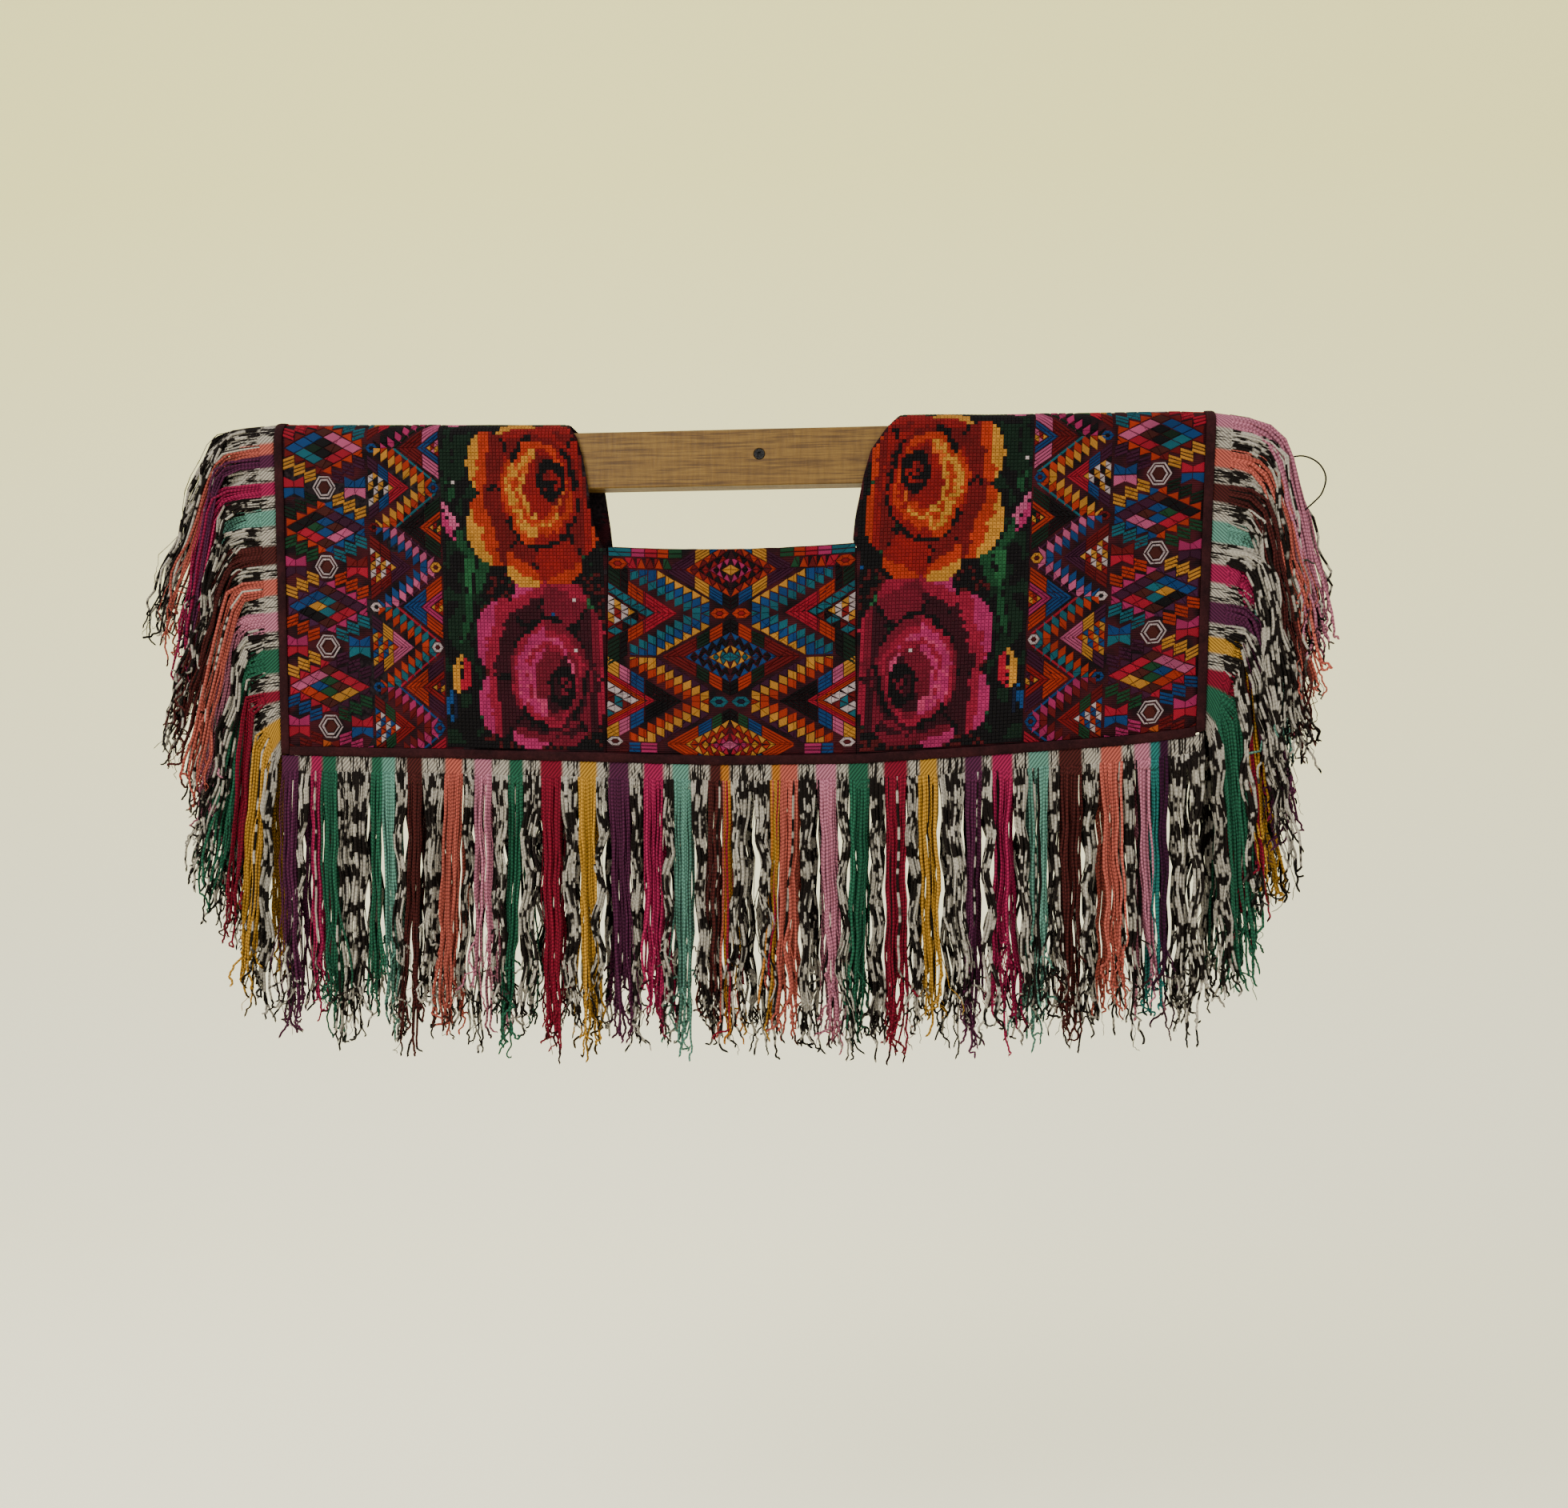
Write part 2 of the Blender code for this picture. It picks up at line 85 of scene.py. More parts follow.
def add_object(name, data):
    obj = bpy.data.objects.new(name, data)
    bpy.context.scene.collection.objects.link(obj)
    return obj


camera_data = bpy.data.cameras.new("camera")
camera_data.sensor_width = SENSOR_WIDTH
camera_data.lens = SENSOR_WIDTH * FOCAL_PIXELS / IMAGE_WIDTH
camera = add_object("camera", camera_data)
camera.location = CAMERA_PLACE
camera.rotation_euler = (math.pi / 2 + CAMERA_TILT, 0, CAMERA_TURN)
bpy.context.scene.camera = camera

world = bpy.data.worlds.new("pale_room")
world.use_nodes = True
world.node_tree.nodes["Background"].inputs["Color"].default_value = (0.86, 0.84, 0.76, 1)
world.node_tree.nodes["Background"].inputs["Strength"].default_value = 1.55
bpy.context.scene.world = world


def add_lamp(name, place, aim, size, power, colour):
    data = bpy.data.lights.new(name, "AREA")
    data.size = size
    data.energy = power
    data.color = colour
    lamp = add_object(name, data)
    lamp.location = place
    toward = Vector(aim) - Vector(place)
    lamp.rotation_euler = toward.to_track_quat("-Z", "Y").to_euler()


add_lamp("window", (-1.5, -1.8, 1.6), (0, 0.4, -0.2), 1.4, 80, (1.0, 0.97, 0.90))
add_lamp("fill", (2.1, -1.6, 0.5), (0, 0.4, -0.2), 1.6, 16, (0.94, 0.96, 1.0))
add_lamp("behind", (-0.4, 2.12, 1.0), (-0.4, 0, 1.0), 1.4, 36, (1.0, 0.955, 0.78))

FLOOR_HEIGHT = -1.0
ROOM_HALF = 3.2
BACKDROP_FAR = 2.2
BACKDROP_TOP = 3.0
COVE = 0.9
# The backdrop's colour turns warmer and a little darker from the floor up to WARM_HEIGHT: painted warm
# light on its upper part.
WARM_HEIGHT = 1.2
PAINT_LOW = (0.95, 0.93, 0.78)
PAINTED_WARM_LIGHT_TOP = (0.93, 0.885, 0.40)


def mesh_from(name, bm, *materials):
    mesh = bpy.data.meshes.new(name)
    bm.to_mesh(mesh)
    bm.free()
    for material in materials:
        mesh.materials.append(material)
    return mesh


def new_material(name, roughness, shine=0.5):
    material = bpy.data.materials.new(name)
    material.use_nodes = True
    shader = material.node_tree.nodes["Principled BSDF"]
    shader.inputs["Roughness"].default_value = roughness
    shader.inputs["Specular IOR Level"].default_value = shine
    return material


def fill_inputs(material, sockets, values):
    """Gives each input its value, or links it to another node's output."""
    for socket, value in zip(sockets, values):
        if isinstance(value, bpy.types.NodeSocket):
            material.node_tree.links.new(value, socket)
        else:
            socket.default_value = value


def add_node(material, kind, **inputs):
    """A shader node. An input is named with _ for spaces."""
    node = material.node_tree.nodes.new(kind)
    sockets = [node.inputs[name.replace("_", " ")] for name in inputs]
    fill_inputs(material, sockets, inputs.values())
    return node


def ramp_node(material, value, stops):
    """A colour ramp: stops are (position, colour)."""
    node = add_node(material, "ShaderNodeValToRGB", Fac=value)
    ramp = node.color_ramp
    while len(ramp.elements) < len(stops):
        ramp.elements.new(0.5)
    for element, (position, colour) in zip(ramp.elements, stops):
        element.position = position
        element.color = (*colour, 1)
    return node.outputs[0]


def finish_surface(material, colour, height=None, distance=0.0002, strength=1.0):
    """Joins the colour, and a bump, to the material's shader."""
    links = material.node_tree.links
    shader = material.node_tree.nodes["Principled BSDF"]
    links.new(colour, shader.inputs["Base Color"])
    if height is not None:
        bump = add_node(material, "ShaderNodeBump", Height=height, Distance=distance)
        bump.inputs["Strength"].default_value = strength
        links.new(bump.outputs[0], shader.inputs["Normal"])


def place_output(material, scale=(1, 1, 1), turn=(0, 0, 0)):
    """The place in the object, in metres times the scale."""
    coordinates = add_node(material, "ShaderNodeTexCoord").outputs["Object"]
    mapping = add_node(material, "ShaderNodeMapping", Vector=coordinates)
    mapping.inputs["Scale"].default_value = scale
    mapping.inputs["Rotation"].default_value = turn
    return mapping.outputs[0]


bm = bmesh.new()
start = bm.verts.new((-ROOM_HALF, -ROOM_HALF, FLOOR_HEIGHT))
foot = bm.verts.new((-ROOM_HALF, BACKDROP_FAR - COVE, FLOOR_HEIGHT))
bm.edges.new((start, foot))
bmesh.ops.spin(
    bm,
    geom=[foot],
    cent=(0, BACKDROP_FAR - COVE, FLOOR_HEIGHT + COVE),
    axis=(1, 0, 0),
    angle=math.pi / 2,
    steps=24,
)
top = max(bm.verts, key=lambda vert: vert.co.z)
bm.edges.new((top, bm.verts.new((-ROOM_HALF, BACKDROP_FAR, BACKDROP_TOP))))
swept = bmesh.ops.extrude_edge_only(bm, edges=bm.edges[:])["geom"]
across = [item for item in swept if isinstance(item, bmesh.types.BMVert)]
bmesh.ops.translate(bm, vec=(2 * ROOM_HALF, 0, 0), verts=across)
bmesh.ops.recalc_face_normals(bm, faces=bm.faces)
floor_paint = new_material("floor_paint", 0.9)
height = add_node(floor_paint, "ShaderNodeSeparateXYZ", Vector=place_output(floor_paint)).outputs[2]
height = add_node(
    floor_paint, "ShaderNodeMapRange",
    Value=height, From_Min=FLOOR_HEIGHT, From_Max=WARM_HEIGHT, To_Min=0.0, To_Max=1.0,
).outputs[0]
# The ramp with height is painted warm light on the backdrop.
finish_surface(floor_paint, ramp_node(floor_paint, height, ((0.0, PAINT_LOW), (1.0, PAINTED_WARM_LIGHT_TOP))))
floor_mesh = mesh_from("floor", bm, floor_paint)
floor_mesh.shade_smooth()
add_object("floor", floor_mesh)


# ---------------------------------------------------------------------------------
# Wall bar, block and screw. The bar is a sawn batten with a thin clear coat: fine
# grain along it, a few darker streaks and faint saw marks across. It is screwed to the
# block, and through it to the wall. The screw is blackened steel with a star drive.


def math_node(material, operation, *values):
    node = add_node(material, "ShaderNodeMath")
    node.operation = operation
    fill_inputs(material, node.inputs, values)
    return node.outputs[0]


def mix_colours(material, share, first, second, blend="MIX"):
    node = add_node(material, "ShaderNodeMix")
    node.data_type = "RGBA"
    node.blend_type = blend
    fill_inputs(material, (node.inputs[0], node.inputs[6], node.inputs[7]), (share, first, second))
    return node.outputs[2]


def noise_output(material, vector, scale, detail=3.0, roughness=0.55):
    node = add_node(material, "ShaderNodeTexNoise", Vector=vector, Scale=scale)
    node.inputs["Detail"].default_value = detail
    node.inputs["Roughness"].default_value = roughness
    return node.outputs[0]


sawn_wood = new_material("sawn_wood", 0.55, 0.3)
along_grain = place_output(sawn_wood, (2.6, 60, 60), (0, math.radians(0.6), 0))
fine_grain = place_output(sawn_wood, (16, 420, 420))
growth = noise_output(sawn_wood, along_grain, 5.5, 7, 0.70)
pores = noise_output(sawn_wood, fine_grain, 1.6, 3, 0.6)
saw_marks = noise_output(sawn_wood, place_output(sawn_wood, (330, 40, 40), (0, 0.5, 0)), 1.0, 3)
wood_colour = ramp_node(sawn_wood, growth, (
    (0.30, (0.066, 0.030, 0.0040)),
    (0.46, (0.112, 0.056, 0.0080)),
    (0.58, (0.145, 0.078, 0.0125)),
    (0.74, (0.118, 0.060, 0.0085)),
))
pore_shade = ramp_node(sawn_wood, pores, ((0.36, (0.42, 0.35, 0.27)), (0.50, (1, 1, 1))))
wood_colour = mix_colours(sawn_wood, 0.75, wood_colour, pore_shade, "MULTIPLY")
saw_shade = ramp_node(sawn_wood, saw_marks, ((0.35, (0.74, 0.70, 0.64)), (0.60, (1, 1, 1))))
wood_colour = mix_colours(sawn_wood, 0.7, wood_colour, saw_shade, "MULTIPLY")
wood_height = math_node(sawn_wood, "ADD", math_node(sawn_wood, "MULTIPLY", pores, 0.6), saw_marks)
finish_surface(sawn_wood, wood_colour, wood_height, 0.0006, 0.6)

black_steel = new_material("black_steel", 0.38)
black_steel.node_tree.nodes["Principled BSDF"].inputs["Metallic"].default_value = 1.0
scuffs = noise_output(black_steel, place_output(black_steel), 900, 2)
finish_surface(black_steel, ramp_node(black_steel, scuffs, (
    (0.40, (0.012, 0.012, 0.014)),
    (0.75, (0.050, 0.048, 0.046)),
)), scuffs, 0.0001, 0.3)

for node_name, material in (
    ("wall_bar", sawn_wood), ("wall_block", sawn_wood), ("bar_screw", black_steel)
):
    node_object = frame["nodes"][node_name]
    for material_slot in node_object.material_slots:
        material_slot.material = material


# ---------------------------------------------------------------------------------
# Left and right side panels. Each is one loom length that goes from the front hem over
# the bar to the back hem: a dark plain ground, brocaded by hand with rows of thick
# coloured yarn, and next to the neck a band of roses in cross stitch.

CLOTH = 2.5 * MM
FOLD_CENTRE_Y = (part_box("wall_bar")[0].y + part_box("wall_bar")[1].y) / 2
# The fold over the bar springs from 4 mm below the bar's top.
FOLD_CENTRE_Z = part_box("wall_bar")[1].z - 4.0 * MM
FOLD_RADIUS = 10.15 * MM
# Along the cloth, from the top of the fold to the seam under the hem binding.
HALF_LENGTH = 275 * MM
SEAM_X = 98.5 * MM
BINDING = 7.0 * MM
NECK_HEIGHT = -70 * MM
LAID_UNDER = 0.3 * MM
# Half the width over the bindings: at the fold, at the hem, and what is lost between them.
HALF_AT_FOLD = 375 * MM
HEM_REACH = 362.5 * MM
HALF_LOST = 12.5 * MM
# The height below which the cloth stands out in soft folds, and its unevenness.
FOLDS_BEGIN = -22.5 * MM
RIPPLE = 0.5 * MM
# Where across the blouse the height of a run is read for its side and neck edges.
SIDE_COLUMN = 0.3
NECK_COLUMN = 0.12
# The ground ends under the side binding, this share of its width in from its edge.
GROUND_SHORT = 0.6

HEM = (
    # x, z of the lower edge of the binding, in mm
    (-362.5, -235.0), (-300, -236.2), (-200, -238.4), (-100, -241.2), (-10, -244.0),
    (100, -243.0), (205, -236.7), (300, -230.0), (350, -224.5), (362.5, -220.5),
)
FOLD_RISE = (
    # x, height of the fold's inside over its springing, in mm
    (-375, 16.5), (-254, 13.5), (-133, 10.8), (135, 12.5), (253, 10.3), (345, 9.8), (375, 8.0),
)
NECK = (
    # z, distance from the middle line at the front's left, its right and at the back, mm
    (-70.0, 102.0, 95.5, 98.5), (-50.0, 110.0, 97.5, 101.0), (-18.0, 115.0, 104.0, 106.0),
    (3.0, 119.0, 110.0, 111.0), (18.5, 124.0, 121.0, 118.0), (31.2, 134.0, 134.0, 134.0),
)
FRONT_FOLDS = (
    # x, half width, how far the cloth stands out at the hem, in mm
    (-345, 50, 4.5), (-235, 55, 5.0), (-120, 50, 3.0), (-5, 75, 4.5), (118, 50, 3.5),
    (230, 55, 4.5), (350, 45, 8.0),
)
BACK_FOLDS = (
    # x, half width, how far the cloth stands out at the hem, in mm
    (-300, 70, 2.2), (-150, 60, 1.5), (10, 90, 2.0), (170, 60, 1.5), (310, 70, 2.2),
)


def table_value(rows, at, column=1):
    """A column of a table in mm, read straight between its rows, in metres."""
    return float(np.interp(at / MM, [row[0] for row in rows], [row[column] for row in rows])) * MM


def hem_height(x):
    return table_value(HEM, x)


def half_width(z):
    share = (FOLD_CENTRE_Z - z) / (FOLD_CENTRE_Z - hem_height(0))
    return HALF_AT_FOLD - HALF_LOST * min(max(share, 0), 1)


def standing_out(folds, x, z):
    """How far the soft folds carry the cloth outwards at a place."""
    below = min(max((FOLDS_BEGIN - z) / (FOLDS_BEGIN - hem_height(0)), 0), 1)
    out = 0.0
    for middle, width, depth in folds:
        away = abs(x / MM - middle) / width
        if away < 1:
            out += depth * MM * (0.5 + 0.5 * math.cos(math.pi * away))
    return out * below * below * (3 - 2 * below)


def ripple_at(across, along):
    """The cloth's small unevenness."""
    return RIPPLE * noise.noise(Vector((across * 22, along * 22, 3.0)))


def hang(x, run, lift):
    """Where the cloth hangs. x is across, run is along the cloth from the top of the fold,
    below 0 on the front and above 0 on the back, and lift is outwards from its inside."""
    rise = table_value(FOLD_RISE, x)
    arc = math.pi / 2 * math.hypot(FOLD_RADIUS + CLOTH, rise + CLOTH) / math.sqrt(2)
    side = -1 if run < 0 else 1
    walked = abs(run)
    ripple = ripple_at(x, run)
    if walked < arc:
        angle = math.pi / 2 * walked / arc
        y = FOLD_CENTRE_Y + side * (FOLD_RADIUS + lift + ripple) * math.sin(angle)
        return Vector((x, y, FOLD_CENTRE_Z + (rise + lift + ripple) * math.cos(angle)))
    foot = hem_height(x) + BINDING + LAID_UNDER
    z = FOLD_CENTRE_Z + (foot - FOLD_CENTRE_Z) * (walked - arc) / (HALF_LENGTH - arc)
    folds = FRONT_FOLDS if side < 0 else BACK_FOLDS
    out = FOLD_RADIUS + lift + ripple + standing_out(folds, x, z)
    return Vector((x, FOLD_CENTRE_Y + side * out, z))


def outer_edge(run):
    """Distance of the side bindings' outer edge from the middle line."""
    return half_width(hang(SIDE_COLUMN, run, 0).z)


def neck_edge(side, run):
    """Distance of a side panel's inner edge from the middle line: the seam with the
    centre panel, and the neck edge above that."""
    z = hang(side * NECK_COLUMN, run, 0).z
    if z < NECK_HEIGHT + LAID_UNDER:
        return SEAM_X
    column = 3 if run > 0 else (1 if side < 0 else 2)
    return table_value(NECK, z, column)


# Dyes of the brocade and the roses, as sRGB.
DYES = {
    "ground": "2C0F1A", "black": "0F0B10", "navy": "131C38", "blue": "144A8C", "teal": "1C6F82",
    "forest": "102A1C", "green": "1B4E30", "leaf": "286A40", "plum": "481738", "purple": "52204A",
    "maroon": "5A1219", "garnet": "781216", "scarlet": "9C1719", "crimson": "C21A38", "magenta": "C23070",
    "carmine": "A81C3E", "berry": "7C142E", "wine": "3C0C1C",
    "pink": "D86494", "rose": "D8487A", "vermilion": "C73A1C", "orange": "DB6526",
    "amber": "E09A3A", "white": "E2CED2", "brown": "56211C",
}
DYE_NAMES = list(DYES)
DYE_DEPTH = 0.40


def linear(code):
    """A yarn's linear colour from the sRGB code of its dye, which is deeper in the yarn."""
    channels = [int(code[i:i + 2], 16) / 255 for i in (0, 2, 4)]
    return [DYE_DEPTH * (c / 12.92 if c < 0.04045 else ((c + 0.055) / 1.055) ** 2.4) for c in channels]


# A brocade chart is a list of patches: (corners in mm, dye, turn of the yarn in the cloth).
# Corners are (across, down): the distance from a side panel's outer edge or from the middle
# line of a centre panel, and the distance along the cloth from its top.


def keep_side(corners, normal, limit):
    """The part of a convex patch where normal . corner is at most limit."""
    kept = []
    for first, second in zip(corners, corners[1:] + corners[:1]):
        before = first[0] * normal[0] + first[1] * normal[1] - limit
        after = second[0] * normal[0] + second[1] * normal[1] - limit
        if before <= 0:
            kept.append(first)
        if before * after < 0:
            share = before / (before - after)
            kept.append((
                first[0] + share * (second[0] - first[0]),
                first[1] + share * (second[1] - first[1]),
            ))
    return kept


def sides_of(corners):
    """The outward normal and limit of each side of a convex patch."""
    area = sum(p[0] * q[1] - q[0] * p[1] for p, q in zip(corners, corners[1:] + corners[:1]))
    if area < 0:
        corners = corners[::-1]
    for first, second in zip(corners, corners[1:] + corners[:1]):
        normal = (second[1] - first[1], first[0] - second[0])
        yield normal, first[0] * normal[0] + first[1] * normal[1]


def trim(chart, low, high):
    """Keeps what lies inside a rectangle."""
    trimmed = []
    for corners, dye, turn in chart:
        for normal, limit in (((1, 0), high[0]), ((-1, 0), -low[0]), ((0, 1), high[1]), ((0, -1), -low[1])):
            corners = keep_side(corners, normal, limit)
        if len(corners) > 2:
            trimmed.append((corners, dye, turn))
    chart[:] = trimmed


def clear(chart, hole):
    """Takes a convex hole out of the patches, so that a motif can go in it."""
    kept = []
    for corners, dye, turn in chart:
        rest = corners
        for normal, limit in sides_of(hole):
            outside = keep_side(rest, (-normal[0], -normal[1]), -limit)
            if len(outside) > 2:
                kept.append((outside, dye, turn))
            rest = keep_side(rest, normal, limit)
            if len(rest) < 3:
                break
    chart[:] = kept


def add_rows(chart, corners, rows, dye, gap=0.55):
    """Fills a four-sided patch with rows of yarn that run along its first side."""
    a, b, c, d = (Vector(corner) for corner in corners)
    turn = math.atan2(b.y - a.y, b.x - a.x)
    height = ((d - a) + (c - b)).length / 2
    for row in range(rows):
        low, high = row / rows + gap / height / 2, (row + 1) / rows - gap / height / 2
        patch = [a.lerp(d, low), b.lerp(c, low), b.lerp(c, high), a.lerp(d, high)]
        chart.append(([tuple(corner) for corner in patch], dye, turn))


class Zigzag:
    """Lines that run away from a tip on both sides: across = line - lean * |down - tip|.
    A blunt one goes straight down for a stretch on both sides of its tip."""

    def __init__(self, chart, tip, lean, blunt=0.0):
        self.chart, self.tip, self.lean, self.blunt = chart, tip, lean, blunt

    def down(self, line, across, way):
        return self.tip + way * (self.blunt + (line - across) / self.lean)

    def rows(self, lines, span, count, dye, gap=0.55):
        """Rows of yarn along both arms, between two lines and over a span across."""
        step = (lines[1] - lines[0]) / count
        for way in (-1, 1):
            for number in range(count):
                low = lines[0] + number * step + gap / 2
                high = low + step - gap
                corners = [
                    (span[0], self.down(low, span[0], way)),
                    (span[1], self.down(low, span[1], way)),
                    (span[1], self.down(high, span[1], way)),
                    (span[0], self.down(high, span[0], way)),
                ]
                corners = keep_side(corners, (0, -way), -way * self.tip)
                if len(corners) > 2:
                    turn = math.atan2(-way, self.lean)
                    self.chart.append((corners, dye, turn))

    def bricks(self, lines, span, count, dyes, slope, gap):
        """Stepped bricks along both arms, one row for each dye."""
        width = (span[1] - span[0]) / count
        thick = (lines[1] - lines[0]) / abs(self.lean) / len(dyes)
        for way in (-1, 1):
            for number in range(count):
                left = span[0] + number * width
                right = left + width
                for row, dye in enumerate(dyes):
                    line = lines[0] + (row + 0.5) * (lines[1] - lines[0]) / len(dyes)
                    middle = self.down(line, (left + right) / 2, way)
                    if way * (middle - self.tip) < -thick * 0.3:
                        continue
                    tilt = way * slope * width / 2 * math.copysign(1, self.lean)
                    corners = [
                        (left + gap / 2, middle - thick / 2 + gap / 2 - tilt),
                        (right - gap / 2, middle - thick / 2 + gap / 2 + tilt),
                        (right - gap / 2, middle + thick / 2 - gap / 2 + tilt),
                        (left + gap / 2, middle + thick / 2 - gap / 2 - tilt),
                    ]
                    corners = keep_side(corners, (0, -way), -way * self.tip)
                    if len(corners) > 2:
                        self.chart.append((corners, dye, math.atan2(2 * tilt, width)))


def add_triangles(chart, apex, size, count, dyes, tall):
    """A pyramid of small triangles that points across: apex is its tip, and a size below 0
    turns it round."""
    step = size / count
    for column in range(count):
        left = apex[0] - (column + 1) * step
        right = apex[0] - column * step
        for row in range(column + 1):
            middle = apex[1] + (row - column / 2) * step * tall
            half = step * 0.46 * tall
            dye = dyes[(column + row) % len(dyes)]
            chart.append(([(left, middle - half), (right, middle), (left, middle + half)], dye, 0))
            if row < column:
                low = middle + step * tall
                chart.append((
                    [(right, middle + half * 0.35), (right, low - half * 0.35), (left, (middle + low) / 2)],
                    dyes[(column + row + 1) % len(dyes)],
                    0,
                ))


# An eye: how much wider its hole in the pattern is, the gap between its rings, and how far
# out the ends of its level sides are, as shares of its half width.
EYE_CLEARED = 1.12
RING_GAP = 0.06
EYE_SHOULDER = 0.42


def add_eye(chart, place, size, rings):
    """A six-sided eye: rings of yarn from the outside in, as (share of the size, dye)."""
    def ring_corners(share):
        wide, tall = size[0] / 2 * share, size[1] / 2 * share
        shoulder = wide * EYE_SHOULDER
        return [
            (place[0] - wide, place[1]), (place[0] - shoulder, place[1] - tall),
            (place[0] + shoulder, place[1] - tall), (place[0] + wide, place[1]),
            (place[0] + shoulder, place[1] + tall), (place[0] - shoulder, place[1] + tall),
        ]

    clear(chart, ring_corners(EYE_CLEARED))
    for number, (share, dye) in enumerate(rings):
        outside = ring_corners(share)
        if number + 1 == len(rings):
            chart.append((outside, dye, 0))
            continue
        inside = ring_corners(rings[number + 1][0] + RING_GAP)
        for i in range(6):
            j = (i + 1) % 6
            turn = math.atan2(outside[j][1] - outside[i][1], outside[j][0] - outside[i][0])
            chart.append(([outside[i], outside[j], inside[j], inside[i]], dye, turn))


# The brocaded zone of a side panel has two columns of motifs, which repeat down the cloth.
# Sizes are in mm: the columns, then the diamond, the bars beside it and the ties at the eye.
GEOMETRIC_WIDTH = 130
OUTER_COLUMN = 70.5
PERIOD = 65.5
FIRST_EYE = 61.5
COLUMN_MARGIN = 0.3
DIAMOND_MIDDLE = 34.5
DIAMOND_HALF = (32.5, 17.6)
TOOTH_HEIGHT = 7.2
YARN_BAR = (9.8, 9.4)
YARN_BAR_STEP = (8.9, 5.6)
YARN_BAR_SLANT = 3.5
BARS_REACH = 23.7
TIE_WIDTH = 17.4
TIE_HEIGHT = 9.1
RIGHT_TIE = 51.2
CHEVRON_LEAN = 1.27
BRICK_LEAN = 1.2
BRICK_BLUNT = 4.6

OUTER_DYES = (
    # four sides of the diamond from its upper left on, its inside, and the teeth on its
    # left and its right
    ("blue", "pink", "teal", "crimson", "black", "brown", "forest", "garnet", "vermilion"),
    ("black", "plum", "crimson", "pink", "blue", "brown", "green", "vermilion", "blue"),
    ("blue", "plum", "black", "crimson", "teal", "brown", "amber", "purple", "magenta"),
    ("pink", "crimson", "vermilion", "amber", "green", "brown", "blue", "crimson", "plum"),
    ("teal", "magenta", "blue", "scarlet", "brown", "navy", "green", "orange", "garnet"),
)
EYE_DYES = (
    # bars above left, above right, below left, below right; bow ties left and right
    ("amber", "plum", "forest", "amber", "crimson", "blue", "blue", "pink"),
    ("green", "teal", "amber", "vermilion", "magenta", "plum", "garnet", "crimson"),
    ("vermilion", "teal", "amber", "plum", "magenta", "crimson", "blue", "teal"),
    ("blue", "green", "garnet", "magenta", "magenta", "crimson", "crimson", "blue"),
    ("scarlet", "teal", "crimson", "teal", "magenta", "crimson", "blue", "teal"),
)
CHEVRON_DYES = (
    # solid rows, their ends, inner and outer bricks, teeth, then the valley below it: its
    # rows, the ends of those and its heart
    ("crimson", "blue", "amber", "vermilion", "teal", "black", "forest", "vermilion"),
    ("plum", "garnet", "blue", "pink", "plum", "blue", "vermilion", "magenta"),
    ("pink", "amber", "vermilion", "teal", "crimson", "vermilion", "plum", "scarlet"),
    ("scarlet", "green", "garnet", "magenta", "blue", "black", "crimson", "amber"),
    ("green", "crimson", "black", "magenta", "forest", "garnet", "pink", "blue"),
)
CLUSTER_DYES = (
    # the small triangles inside a chevron, in turn
    ("amber", "black", "white"), ("amber", "white", "scarlet"), ("vermilion", "blue", "amber"),
    ("white", "blue", "vermilion"), ("amber", "garnet", "teal"),
)


def add_bars(chart, place, step, slant, dye):
    """Three bars, each of three yarn rows, that step along a diamond's side."""
    for number in range(3):
        left = place[0] + number * step[0]
        top = place[1] + number * step[1]
        corners = [
            (left, top), (left + YARN_BAR[0], top - slant),
            (left + YARN_BAR[0], top - slant + YARN_BAR[1]), (left, top + YARN_BAR[1]),
        ]
        add_rows(chart, corners, 3, dye, 0.6)


def add_bow_tie(chart, left, top, width, height, dye):
    middle = left + width / 2
    for one, other in ((left, middle - 0.15), (left + width, middle + 0.15)):
        chart.append((
            [(one, top), (other, top + height * 0.45), (other, top + height), (one, top + height)],
            dye,
            0,
        ))


